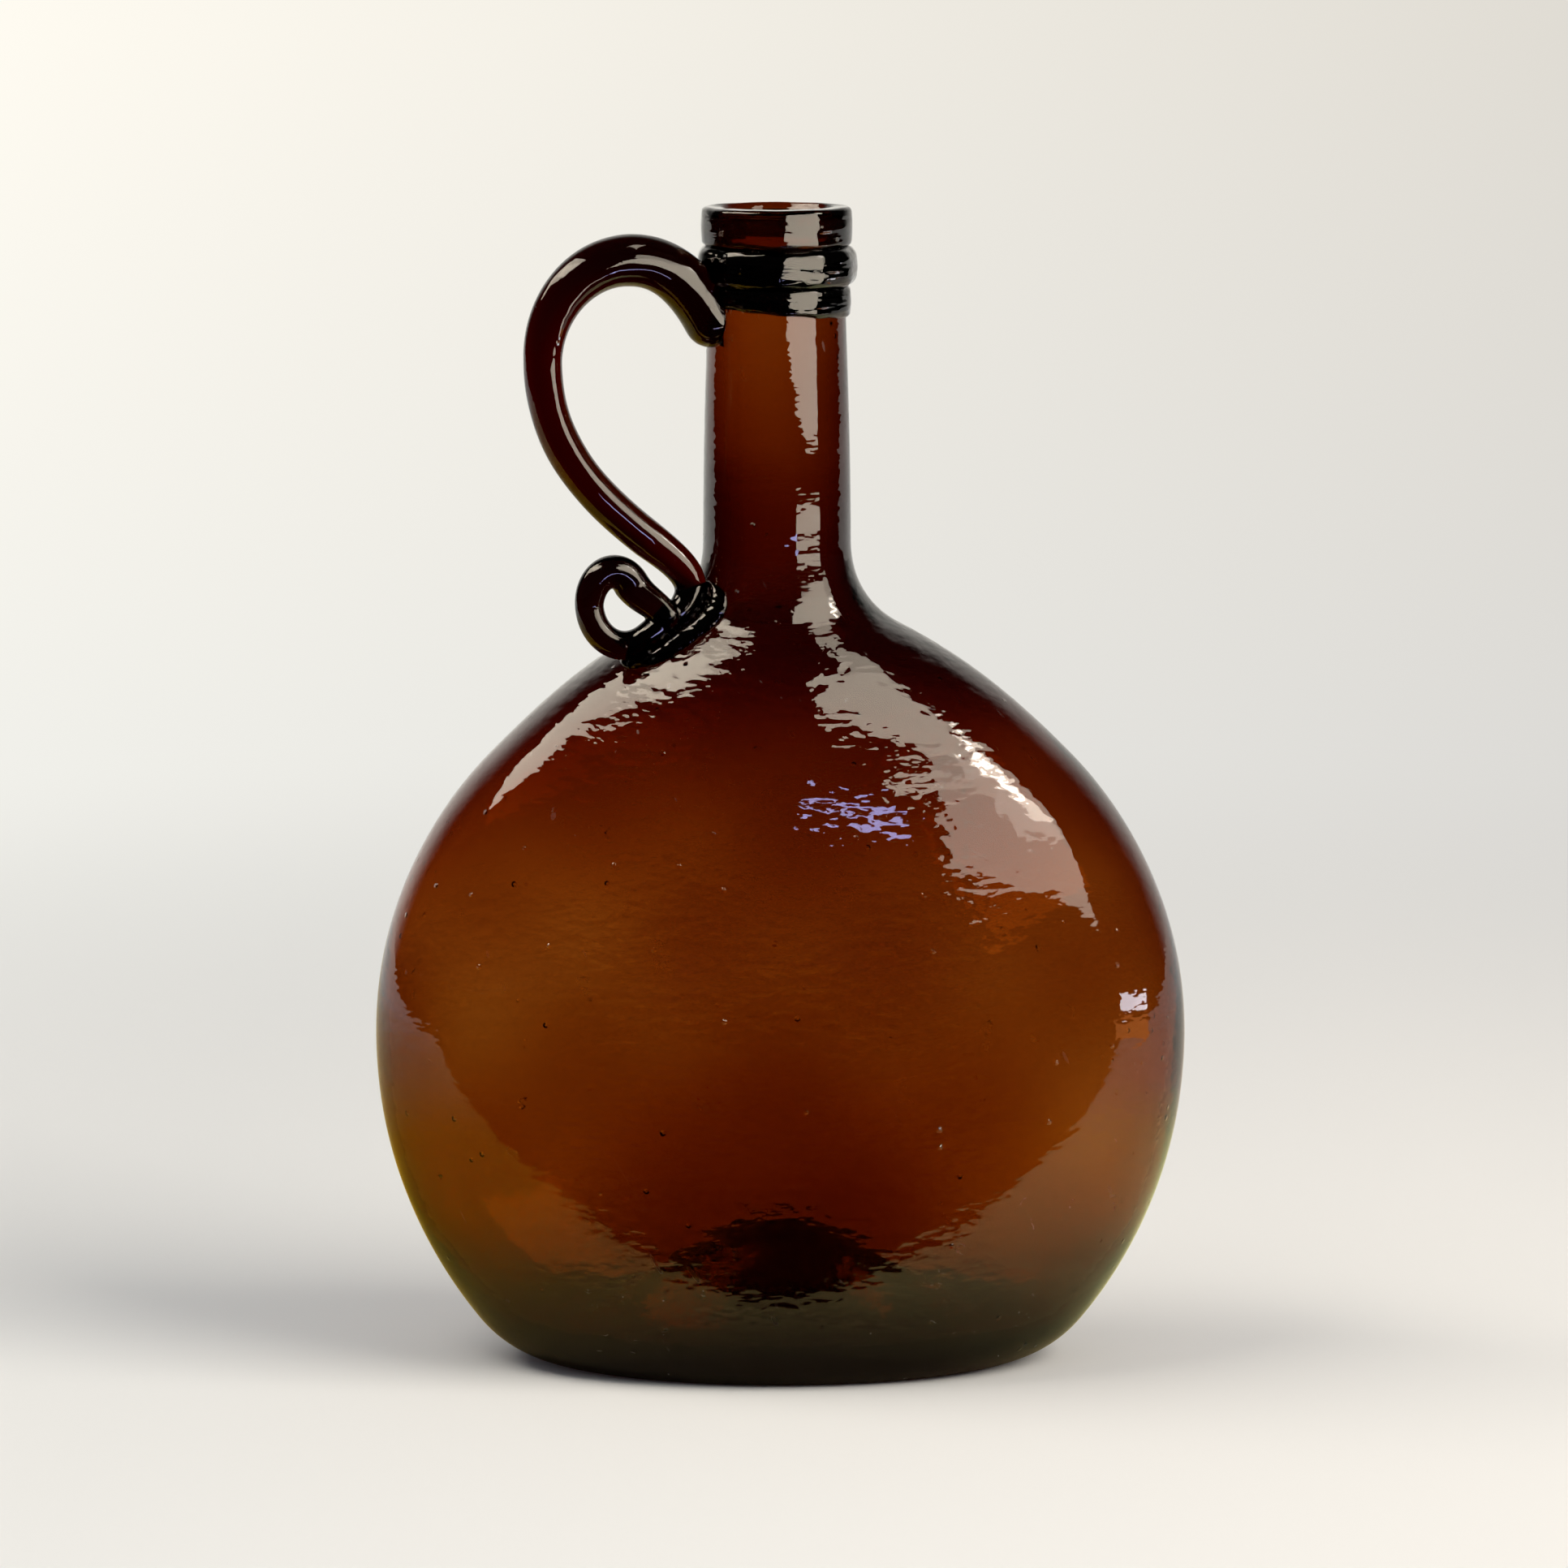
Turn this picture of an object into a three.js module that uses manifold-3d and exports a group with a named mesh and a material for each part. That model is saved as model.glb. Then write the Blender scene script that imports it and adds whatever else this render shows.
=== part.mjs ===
// A free-blown amber glass flask: a flattened round body with a pushed-up base, a straight neck with a wound
// collar, and a drawn rod handle that ends in a curl on the shoulder.
// Millimetres. +Z is up, -X is the handle's side, -Y is the front. The origin is the middle of the base.
import * as THREE from "three";
import { mergeVertices } from "three/addons/utils/BufferGeometryUtils.js";
import Module from "manifold-3d";

const wasm = await Module();
wasm.setup();

// The blown body
const flaskHeight = 210;
const bodyWidth = 147;
const bodyDepth = 76;
const bellyHeight = 60; // height of the widest place
const lowerBellyReach = 79; // from the widest place down to where its ellipse would close
const heelHeight = 8; // where the lower ellipse turns under
const upperBellyShare = 0.98; // reach of its upper ellipse, as a share of the way up to the shoulder's turn
const upperBellyTurn = THREE.MathUtils.degToRad(45); // how far round the upper belly runs
const shoulderWidth = 44; // across the shoulder where it turns up into the neck
const shoulderDrop = 15; // from the neck's root down to that turn
const shoulderSlope = THREE.MathUtils.degToRad(28);

// The neck
const neckRootHeight = 150;
const neckRootDiameter = 26.8;
const neckMiddleDrop = 32; // from the mouth down to where the neck starts to narrow
const neckMiddleDiameter = 25.8;
const neckTopDiameter = 23.2;
const neckOffset = 0.6; // the neck stands this far towards the handle
const boreDiameter = 18.4;
const mouthRounding = 1; // inner and outer edge of the rim

// The glass between the outside and the inside
const bellyWall = 2.8;
const shoulderWall = 4.4;
const heelWall = 4.6;
const floorThickness = 6;

// The push-up under the base
const pushUpHeight = 20;
const pushUpWidth = 66; // across the inner edge of the standing ring
const pushUpCrown = 15; // how far its round top reaches from the middle
const pushUpFlare = 14; // how far its foot runs out flat

// The collar, from the mouth down
const lipBandHeight = 6.6;
const lipBandDiameter = 27;
const collarHeight = 7.2;
const collarDiameter = 29;
const collarRounding = 1.5;
const trailHeight = 4.2;
const trailDiameter = 26.7;
const trailSlant = 1.1; // the trail's lower edge sinks this much away from the handle
const trailRounding = 0.9;
const lipRounding = 0.8;
const turnGap = 0.3; // between one piece of glass and the next

// The handle's rod, measured in the upright plane that holds it
const handleTurn = THREE.MathUtils.degToRad(20); // the plane is turned this far towards the front
const handleReach = 44.1; // neck axis to the middle of the rod at its farthest
const archReach = 28; // neck axis to the top of the arch
const archDrop = 9; // from the mouth down to the rod's middle on top of the arch
const archFarDrop = 26.5; // from the mouth down to its farthest place
const rootDrop = 20; // from the mouth down to where the rod's middle enters the neck
const rootSlope = THREE.MathUtils.degToRad(60);
const elbowReach = 24.4; // where the lower run starts to bend towards the shoulder
const elbowRise = 1; // height of that place above the neck's root
const elbowSlope = THREE.MathUtils.degToRad(38);
const rootDiameter = 10;
const archDiameter = 9.4;
const armDiameter = 6.9;
const footDiameter = 5.4;
const curlSideDiameter = 5.2;
const curlDiameter = 6.6;
const tailDiameter = 5.2;

// The curl at the end of the rod
const seatHeight = 2.3; // middle of the rod above the shoulder's surface
const seatForward = 3; // the rod lies down this far in front of the handle's plane
const seatStartWidth = 19.2; // half width of the body where the rod lies down
const seatEndWidth = 27.5; // half width of the body where it leaves the shoulder again
const curlReach = 31.2; // neck axis to the top of the curl
const curlShoulder = 4.4; // from the top of the curl out to its side
const curlHeight = 11.8; // from the seat to the top, between the rod's middles
const curlTurn = THREE.MathUtils.degToRad(145); // how far round the rod goes before it falls to its tip
const tipReach = 23; // half width of the body under the rod's end
const tipForward = 4; // the rod's end lies this far in front of the handle's plane
const tipHeight = 4; // middle of the rod's end above the shoulder's surface
const tipSlope = THREE.MathUtils.degToRad(55);

// The pressed pad under the curl
const padStartDrop = 6.5; // from the neck's root down to the pad's wide end
const padEndWidth = 33.5; // half width of the body at the pad's thin end
const padNeckWidth = 14;
const padTipWidth = 11;
const padThickness = 1.3;
const padEdge = 0.2; // the share of its thickness that is left at its edge
const padRidge = 0.35;
const padRidgeCount = 3;

// The ring left by the maker's iron in the push-up
const scarDiameter = 17;
const scarWidth = 2.6;
const scarThickness = 1.1;

// How far a curve holds its first and last direction, as a share of the distance between its ends
const gentlePull = 0.38;
const fullPull = 0.5;

// How finely the surfaces are divided
const aroundBody = 44;
const aroundRing = 40;
const aroundRod = 12;
const aroundScar = 28;
const rodStep = 1.9; // millimetres along the rod
const ballRows = 3; // rows on the half ball that closes a rod
const seatPoints = 6;
const outerSteps = { lower: 8, upper: 7, shoulder: 5, turn: 7 };
const innerSteps = { lower: 6, upper: 5, shoulder: 4, turn: 6 };
const neckSteps = 9;
const heelSteps = 4;
const floorSteps = 8;
const edgeSteps = 3; // on each rounded edge of a ring
const rimSteps = 2; // on each rounded edge of the mouth
const padRows = 12;
const padColumns = 16;
const scarColumns = 4;

const amber = 0x6a3208;
const darkAmber = 0x2a0e06;

// Heights that go with the mouth or with the neck's root
const shoulderHeight = neckRootHeight - shoulderDrop;
const upperBellyReach = (shoulderHeight - bellyHeight) * upperBellyShare;
const neckMiddleHeight = flaskHeight - neckMiddleDrop;
const archTop = flaskHeight - archDrop;
const archFarHeight = flaskHeight - archFarDrop;
const rootHeight = flaskHeight - rootDrop;
const elbowHeight = neckRootHeight + elbowRise;
const padStartHeight = neckRootHeight - padStartDrop;

// Follows stations of [place, value] in straight lines from one to the next. It stays level beyond both ends.
function follow(stations, at) {
  const next = stations.findIndex(([place]) => place >= at);
  if (next < 1) return (next === 0 ? stations[0] : stations.at(-1))[1];
  const [[from, low], [to, high]] = [stations[next - 1], stations[next]];
  return THREE.MathUtils.mapLinear(at, from, to, low, high);
}

// A share that is full in the middle of a strip and falls to a thin edge at -1 and 1. A higher power keeps it
// full farther out.
function bulge(position, power) {
  return Math.max(padEdge, Math.sqrt(1 - Math.abs(position) ** power));
}

// Points of a plane curve, without its last one, so that the next curve can follow on.
function pointsOf(curve, count) {
  return curve.getPoints(count).slice(0, -1);
}

// A smooth curve between two points that leaves and arrives in the given directions.
function easedCurve(start, leaving, end, arriving, pull) {
  const reach = start.distanceTo(end) * pull;
  const first = start.clone().addScaledVector(leaving.clone().normalize(), reach);
  const second = end.clone().addScaledVector(arriving.clone().normalize(), -reach);
  return new THREE.CubicBezierCurve(start, first, second, end);
}

// The wall from the heel up to the neck's root, as half widths and heights: lower ellipse, upper ellipse,
// straight shoulder and the hollow turn up into the neck.
function wallOutline(sizes) {
  const { halfWidth, lowerReach, upperReach, fromHeight, shoulderX, shoulderZ, rootRadius, steps } = sizes;
  const lowest = Math.acos((bellyHeight - fromHeight) / lowerReach);
  const lower = new THREE.EllipseCurve(0, bellyHeight, halfWidth, lowerReach, lowest - Math.PI / 2, 0);
  const upper = new THREE.EllipseCurve(0, bellyHeight, halfWidth, upperReach, 0, upperBellyTurn);
  const bellyEnd = upper.getPoint(1);
  const bellyDirection = new THREE.Vector2(
    -halfWidth * Math.sin(upperBellyTurn),
    upperReach * Math.cos(upperBellyTurn),
  );
  const shoulderEnd = new THREE.Vector2(shoulderX, shoulderZ);
  const shoulderDirection = new THREE.Vector2(-Math.cos(shoulderSlope), Math.sin(shoulderSlope));
  const shoulder = easedCurve(bellyEnd, bellyDirection, shoulderEnd, shoulderDirection, gentlePull);
  const root = new THREE.Vector2(rootRadius, neckRootHeight);
  const turn = easedCurve(shoulderEnd, shoulderDirection, root, new THREE.Vector2(0, 1), gentlePull);
  return [
    ...pointsOf(lower, steps.lower),
    ...pointsOf(upper, steps.upper),
    ...pointsOf(shoulder, steps.shoulder),
    ...pointsOf(turn, steps.turn),
  ];
}

const outerWall = wallOutline({
  halfWidth: bodyWidth / 2,
  lowerReach: lowerBellyReach,
  upperReach: upperBellyReach,
  fromHeight: heelHeight,
  shoulderX: shoulderWidth / 2,
  shoulderZ: shoulderHeight,
  rootRadius: neckRootDiameter / 2,
  steps: outerSteps,
});

const innerWall = wallOutline({
  halfWidth: bodyWidth / 2 - bellyWall,
  lowerReach: lowerBellyReach - heelWall,
  upperReach: upperBellyReach - bellyWall,
  fromHeight: heelHeight + heelWall,
  shoulderX: shoulderWidth / 2 - shoulderWall * Math.sin(shoulderSlope),
  shoulderZ: shoulderHeight - shoulderWall * Math.cos(shoulderSlope),
  rootRadius: boreDiameter / 2,
  steps: innerSteps,
});

// The outside of the neck, which narrows under the collar.
const neckLine = new THREE.SplineCurve([
  new THREE.Vector2(neckRootDiameter / 2, neckRootHeight),
  new THREE.Vector2(neckMiddleDiameter / 2, neckMiddleHeight),
  new THREE.Vector2(neckTopDiameter / 2, flaskHeight - mouthRounding),
]);
const neckPoints = neckLine.getPoints(neckSteps);
const neckStations = neckPoints.map((point) => [point.y, point.x]);

// The neck's outer radius at a height.
function neckRadiusAt(z) {
  return follow(neckStations, z);
}

// The rim of the mouth: a flat top between two rounded edges, from the outside in.
function rimOutline() {
  const outer = neckTopDiameter / 2 - mouthRounding;
  const inner = boreDiameter / 2 + mouthRounding;
  const z = flaskHeight - mouthRounding;
  const outside = new THREE.EllipseCurve(outer, z, mouthRounding, mouthRounding, 0, Math.PI / 2);
  const inside = new THREE.EllipseCurve(inner, z, mouthRounding, mouthRounding, Math.PI / 2, Math.PI);
  return [...outside.getPoints(rimSteps).slice(1), ...inside.getPoints(rimSteps)];
}

// The heel turns from the wall to the standing ring. It keeps the wall's slope and ends flat at a height.
function heelOutline(wall, flatHeight) {
  const [start, above] = wall;
  const slope = (above.x - start.x) / (above.y - start.y);
  const corner = new THREE.Vector2(start.x - (start.y - flatHeight) * slope, flatHeight);
  const end = new THREE.Vector2(corner.x - corner.distanceTo(start), flatHeight);
  return new THREE.QuadraticBezierCurve(end, corner, start);
}

// The S-shaped rise of the floor from its round top to its flat foot.
function floorOutline(topHeight, footRadius, footHeight, crown, flare) {
  return new THREE.CubicBezierCurve(
    new THREE.Vector2(0, topHeight),
    new THREE.Vector2(crown, topHeight),
    new THREE.Vector2(footRadius - flare, footHeight),
    new THREE.Vector2(footRadius, footHeight),
  );
}

const heel = heelOutline(outerWall, 0);
const innerHeel = heelOutline(innerWall, floorThickness);
const underside = floorOutline(pushUpHeight, pushUpWidth / 2, 0, pushUpCrown, pushUpFlare);
const innerFloor = floorOutline(
  pushUpHeight + floorThickness,
  innerHeel.v0.x,
  floorThickness,
  pushUpCrown + floorThickness / 2,
  pushUpFlare,
);

// Half depth of the body's oval section for its half width: round up to the neck's radius, then flattened.
function halfDepth(halfWidth, roundRadius, fullWidth, fullDepth) {
  if (halfWidth <= roundRadius) return halfWidth;
  return THREE.MathUtils.mapLinear(halfWidth, roundRadius, fullWidth, roundRadius, fullDepth);
}

function outerDepth(halfWidth) {
  return halfDepth(halfWidth, neckRootDiameter / 2, bodyWidth / 2, bodyDepth / 2);
}

function innerDepth(halfWidth) {
  return halfDepth(halfWidth, boreDiameter / 2, bodyWidth / 2 - bellyWall, bodyDepth / 2 - bellyWall);
}

// Under the heel the sections keep the foot's own proportion, down to the middle.
function footShare(footRadius, depthOf) {
  return depthOf(footRadius) / footRadius;
}

// How far a section has moved over from the body's middle to the neck's axis. The round belly doesn't move.
function leanAt(z) {
  const bellyTop = bellyHeight + upperBellyReach * Math.sin(upperBellyTurn);
  return -neckOffset * THREE.MathUtils.smoothstep(z, bellyTop, neckRootHeight);
}

// A closed oval row of points round the body.
function ovalRow(halfWidth, depth, z, count) {
  return Array.from({ length: count }, (_, i) => {
    const angle = (i / count) * 2 * Math.PI;
    return new THREE.Vector3(leanAt(z) + halfWidth * Math.cos(angle), depth * Math.sin(angle), z);
  });
}

// Stitches rows of points into a closed surface. The rows close on themselves, and either the last row joins
// the first or both ends close on a middle point.
function closedSurface(rows, endsJoin) {
  const count = rows[0].length;
  const vertices = rows.flat();
  const faces = [];
  const quad = (a, b, c, d) => faces.push(a, b, c, a, c, d);
  const last = endsJoin ? rows.length : rows.length - 1;
  for (let row = 0; row < last; row++)
    for (let i = 0; i < count; i++) {
      const here = row * count;
      const next = ((row + 1) % rows.length) * count;
      const j = (i + 1) % count;
      quad(here + i, here + j, next + j, next + i);
    }
  if (!endsJoin) {
    const sum = (row) => row.reduce((total, point) => total.add(point), new THREE.Vector3());
    const middle = (row) => sum(row).divideScalar(count);
    const end = (rows.length - 1) * count;
    vertices.push(middle(rows[0]), middle(rows.at(-1)));
    for (let i = 0; i < count; i++) {
      const j = (i + 1) % count;
      faces.push(vertices.length - 2, j, i);
      faces.push(vertices.length - 1, end + i, end + j);
    }
  }
  const geometry = new THREE.BufferGeometry().setFromPoints(vertices);
  geometry.setIndex(faces);
  return geometry;
}

// Turns a closed geometry into a solid for joining and cutting, and back.
function toSolid(geometry) {
  const bare = geometry.clone();
  bare.deleteAttribute("normal");
  bare.deleteAttribute("uv");
  const merged = mergeVertices(bare, 1e-4);
  return new wasm.Manifold(
    new wasm.Mesh({
      numProp: 3,
      vertProperties: merged.attributes.position.array,
      triVerts: new Uint32Array(merged.index.array),
    }),
  );
}

function toGeometry(solid) {
  const mesh = solid.getMesh();
  const geometry = new THREE.BufferGeometry();
  geometry.setAttribute("position", new THREE.BufferAttribute(mesh.vertProperties, mesh.numProp));
  geometry.setIndex(new THREE.BufferAttribute(mesh.triVerts, 1));
  return geometry;
}

// The blown body: one closed skin that runs from the middle of the underside out, up, over the rim and down
// inside.
function flaskBody() {
  const footRadius = heel.v0.x;
  const undersideShare = footShare(footRadius, outerDepth);
  const innerFootRadius = innerHeel.v0.x;
  const floorShare = footShare(innerFootRadius, innerDepth);
  const row = (depthOf) => (point) => ovalRow(point.x, depthOf(point.x), point.y, aroundBody);
  const under = [...underside.getPoints(floorSteps).slice(1), heel.v0];
  const outside = [...heel.getPoints(heelSteps).slice(1, -1), ...outerWall, ...neckPoints, ...rimOutline()];
  const bore = new THREE.Vector2(boreDiameter / 2, neckRootHeight);
  const innerTurn = innerHeel.getPoints(heelSteps).slice(1, -1);
  const inside = [bore, ...innerWall.toReversed(), ...innerTurn.toReversed()];
  const floor = innerFloor.getPoints(floorSteps).slice(1).toReversed();
  const rows = [
    ...under.map(row((x) => x * undersideShare)),
    ...outside.map(row(outerDepth)),
    ...inside.map(row(innerDepth)),
    ...floor.map(row((x) => x * floorShare)),
  ];
  const skin = closedSurface(rows, false);
  const position = skin.attributes.position;
  position.setXYZ(position.count - 2, 0, 0, pushUpHeight);
  position.setXYZ(position.count - 1, 0, 0, pushUpHeight + floorThickness);
  return skin;
}

// The outside of the body and neck as a full block, grown by a gap, to cut what sits on it.
function bodyBlock(gap) {
  const points = [...heel.getPoints(heelSteps).slice(0, -1), ...outerWall, ...neckPoints];
  const grown = points.map(({ x, y }) => ovalRow(x + gap, outerDepth(x) + gap, y, aroundBody));
  const top = neckPoints.at(-1).x + gap;
  return toSolid(closedSurface([...grown, ovalRow(top, top, flaskHeight + gap, aroundBody)], false));
}

// A ring of glass round the neck between two heights. Its lower edge may slant. Grown by a gap, it reaches
// into the neck as well, to cut what sits on it.
function neckRing({ low, high, diameter, rounding, slant = 0, grow = 0 }) {
  const outer = diameter / 2 + grow;
  const edge = rounding + grow;
  const innerAt = grow > 0 ? () => boreDiameter / 2 : (z) => neckRadiusAt(z) + turnGap;
  const rows = Array.from({ length: aroundRing }, (_, i) => {
    const angle = (i / aroundRing) * 2 * Math.PI;
    const bottom = low - grow - slant * Math.cos(angle);
    const top = high + grow;
    const lowEdge = new THREE.EllipseCurve(outer - edge, bottom + edge, edge, edge, -Math.PI / 2, 0);
    const topEdge = new THREE.EllipseCurve(outer - edge, top - edge, edge, edge, 0, Math.PI / 2);
    const section = [
      new THREE.Vector2(innerAt(bottom), bottom),
      ...lowEdge.getPoints(edgeSteps),
      ...topEdge.getPoints(edgeSteps),
      new THREE.Vector2(innerAt(top), top),
    ];
    return section
      .toReversed()
      .map(({ x, y }) => new THREE.Vector3(-neckOffset + x * Math.cos(angle), x * Math.sin(angle), y));
  });
  return closedSurface(rows, true);
}

// The three turns of the collar, each hanging under the one above.
const lipBand = {
  low: flaskHeight - lipBandHeight,
  high: flaskHeight,
  diameter: lipBandDiameter,
  rounding: lipRounding,
};
const collar = {
  low: lipBand.low - turnGap - collarHeight,
  high: lipBand.low - turnGap,
  diameter: collarDiameter,
  rounding: collarRounding,
};
const trail = {
  low: collar.low - turnGap - trailHeight,
  high: collar.low - turnGap,
  diameter: trailDiameter,
  rounding: trailRounding,
  slant: trailSlant,
};

// A step is a place along the outline of the body's outside: the number of the outline point before it and
// the share of the way to the next. It is found from a half width above the belly, or from a height.
const widthSteps = outerWall.map(({ x }, i) => [x, i]).filter(([, i]) => outerWall[i].y >= bellyHeight);
const heightSteps = outerWall.map(({ y }, i) => [y, i]);

function stepAtWidth(halfWidth) {
  return follow(widthSteps.toReversed(), halfWidth);
}

function stepAtHeight(z) {
  return follow(heightSteps, z);
}

// Half width and height of the body's outside at a step.
function outlineAt(step) {
  const index = Math.min(Math.floor(step), outerWall.length - 2);
  return outerWall[index].clone().lerp(outerWall[index + 1], step - index);
}

// A place on the shoulder: how far along the outline, how far sideways from the handle's plane, how high
// above. The way up is square to the outline, taken half a step to both sides, and to the oval section.
function onShoulder(step, sideways, above) {
  const { x: halfWidth, y: z } = outlineAt(step);
  const depth = outerDepth(halfWidth);
  const [before, after] = [outlineAt(step - 0.5), outlineAt(Math.min(step + 0.5, outerWall.length - 1))];
  const middle = Math.PI + Math.atan((halfWidth / depth) * Math.tan(handleTurn));
  const perRadian = Math.hypot(halfWidth * Math.sin(middle), depth * Math.cos(middle));
  const angle = middle + sideways / perRadian;
  const [cos, sin] = [Math.cos(angle), Math.sin(angle)];
  const place = new THREE.Vector3(leanAt(z) + halfWidth * cos, depth * sin, z);
  const round = new THREE.Vector3(-halfWidth * sin, depth * cos, 0);
  const deeper = outerDepth(after.x) - outerDepth(before.x);
  const up = new THREE.Vector3((after.x - before.x) * cos, deeper * sin, after.y - before.y);
  return place.addScaledVector(round.cross(up).normalize(), above);
}

// Distance from the neck axis and height of a place, seen square to the handle's plane.
function inHandlePlane(place) {
  const distance = -(place.x + neckOffset) * Math.cos(handleTurn) - place.y * Math.sin(handleTurn);
  return new THREE.Vector2(distance, place.z);
}

// A unit vector in the handle's plane that falls towards the neck at a slope.
function fallingInwards(slope) {
  return new THREE.Vector2(-Math.cos(slope), -Math.sin(slope));
}

// The rod's middle line in the handle's plane, in two paths: root, arch, arm, bend, seat on the shoulder and
// sweep up to the side of the curl, then over the curl and down to the tip.
function rodPaths() {
  const root = new THREE.Vector2(neckRadiusAt(rootHeight), rootHeight);
  const top = new THREE.Vector2(archReach, archTop);
  const outwards = new THREE.Vector2(1, 0);
  const upwards = new THREE.Vector2(0, 1);
  const rise = easedCurve(root, fallingInwards(rootSlope).negate(), top, outwards, gentlePull);
  const arch = new THREE.EllipseCurve(
    archReach, archFarHeight, handleReach - archReach, archTop - archFarHeight, Math.PI / 2, 0, true);
  const far = new THREE.Vector2(handleReach, archFarHeight);
  const elbow = new THREE.Vector2(elbowReach, elbowHeight);
  const arm = easedCurve(far, upwards.clone().negate(), elbow, fallingInwards(elbowSlope), gentlePull);
  const seatSteps = [stepAtWidth(seatStartWidth), stepAtWidth(seatEndWidth)];
  const seat = Array.from({ length: seatPoints }, (_, i) => {
    const step = THREE.MathUtils.lerp(...seatSteps, i / (seatPoints - 1));
    return inHandlePlane(onShoulder(step, seatForward, seatHeight));
  });
  const seatDirection = seat[1].clone().sub(seat[0]);
  const bend = easedCurve(elbow, fallingInwards(elbowSlope), seat[0], seatDirection, fullPull);
  const seatEnd = seat.at(-1);
  const curlMiddle = seatEnd.y + curlHeight / 2;
  const side = new THREE.Vector2(curlReach + curlShoulder, curlMiddle);
  const sweep = easedCurve(seatEnd, seatEnd.clone().sub(seat.at(-2)), side, upwards, fullPull);
  const over = new THREE.EllipseCurve(curlReach, curlMiddle, curlShoulder, curlHeight / 2, 0, curlTurn);
  const tip = inHandlePlane(onShoulder(stepAtWidth(tipReach), tipForward, tipHeight));
  const tail = easedCurve(over.getPoint(1), over.getTangent(1), tip, fallingInwards(tipSlope), gentlePull);
  const path = (...curves) => {
    const joined = new THREE.CurvePath();
    curves.forEach((curve) => joined.add(curve));
    return joined;
  };
  return { main: path(rise, arch, arm, bend, new THREE.SplineCurve(seat), sweep), curl: path(over, tail) };
}

// Stations of a value along a path: one value for its start and one for the end of each of its curves.
function alongPath(path, values) {
  const ends = path.getCurveLengths();
  return [0, ...ends].map((end, i) => [end / ends.at(-1), values[i]]);
}

// Sweeps a round rod along a line in the handle's plane. The diameter and the shift to the front follow
// stations along its length, and each end is closed by a half ball.
function sweptRod(line, diameters, shifts) {
  const steps = Math.round(line.getLength() / rodStep);
  const planeX = new THREE.Vector3(-Math.cos(handleTurn), -Math.sin(handleTurn), 0);
  const front = new THREE.Vector3(Math.sin(handleTurn), -Math.cos(handleTurn), 0);
  const ring = (share, radius, beyond) => {
    const point = line.getPointAt(share);
    const ahead = line.getTangentAt(share);
    const tangent = planeX.clone().multiplyScalar(ahead.x).setZ(ahead.y);
    const outward = front.clone().cross(tangent);
    const middle = planeX.clone().multiplyScalar(point.x).setZ(point.y);
    middle.x -= neckOffset;
    middle.addScaledVector(front, follow(shifts, share)).addScaledVector(tangent, beyond);
    return Array.from({ length: aroundRod }, (_, i) => {
      const angle = (i / aroundRod) * 2 * Math.PI;
      return middle
        .clone()
        .addScaledVector(outward, radius * Math.cos(angle))
        .addScaledVector(front, radius * Math.sin(angle));
    });
  };
  const radiusAt = (share) => follow(diameters, share) / 2;
  const quarter = Math.PI / 2;
  const ballAngles = Array.from({ length: ballRows }, (_, i) => quarter * (1 - (i + 1) / (ballRows + 1)));
  const ball = (share, direction) => {
    const radius = radiusAt(share);
    return ballAngles.map((a) => ring(share, radius * Math.cos(a), direction * radius * Math.sin(a)));
  };
  const run = Array.from({ length: steps + 1 }, (_, i) => ring(i / steps, radiusAt(i / steps), 0));
  return toSolid(closedSurface([...ball(0, -1), ...run, ...ball(1, 1).toReversed()], false));
}

// The pressed pad: a leaf on the shoulder, wide at the neck and narrow at the end, with ridges along it.
// Grown by a gap, it cuts what lies on it.
function handlePad(grow) {
  const rows = Array.from({ length: padRows + 1 }, (_, row) => {
    const share = row / padRows;
    const step = THREE.MathUtils.lerp(stepAtHeight(padStartHeight), stepAtWidth(padEndWidth), share);
    const endShape = bulge(2 * share - 1, 4);
    const half = (THREE.MathUtils.lerp(padNeckWidth, padTipWidth, share) * endShape) / 2 + grow;
    const sides = Array.from({ length: padColumns + 1 }, (_, i) => (2 * i) / padColumns - 1);
    const top = sides.map((side) => {
      const ridge = padRidge * Math.cos(side * Math.PI * padRidgeCount);
      const thickness = (padThickness + ridge) * bulge(side, 4) * endShape;
      return onShoulder(step, seatForward + side * half, turnGap + thickness + grow);
    });
    const bottom = sides.map((side) => onShoulder(step, seatForward + side * half, turnGap - grow));
    return [...bottom, ...top.toReversed()];
  });
  return closedSurface(rows, false);
}

// The handle: one rod in two sweeps that fuse where the tip lies against the lower run, cut to sit on its
// neighbours.
function handle() {
  const { main, curl } = rodPaths();
  const mainDiameters = alongPath(main, [
    rootDiameter,
    archDiameter,
    armDiameter,
    armDiameter,
    footDiameter,
    footDiameter,
    curlSideDiameter,
  ]);
  const curlDiameters = alongPath(curl, [curlSideDiameter, curlDiameter, tailDiameter]);
  const rod = sweptRod(main, mainDiameters, alongPath(main, [0, 0, 0, 0, seatForward, seatForward, 0]));
  const tail = sweptRod(curl, curlDiameters, alongPath(curl, [0, 0, tipForward]));
  const rings = [lipBand, collar, trail].map((ring) => toSolid(neckRing({ ...ring, grow: turnGap })));
  const cutters = [bodyBlock(turnGap), ...rings, toSolid(handlePad(turnGap))];
  return toGeometry(cutters.reduce((solid, cutter) => solid.subtract(cutter), rod.add(tail)));
}

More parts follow.
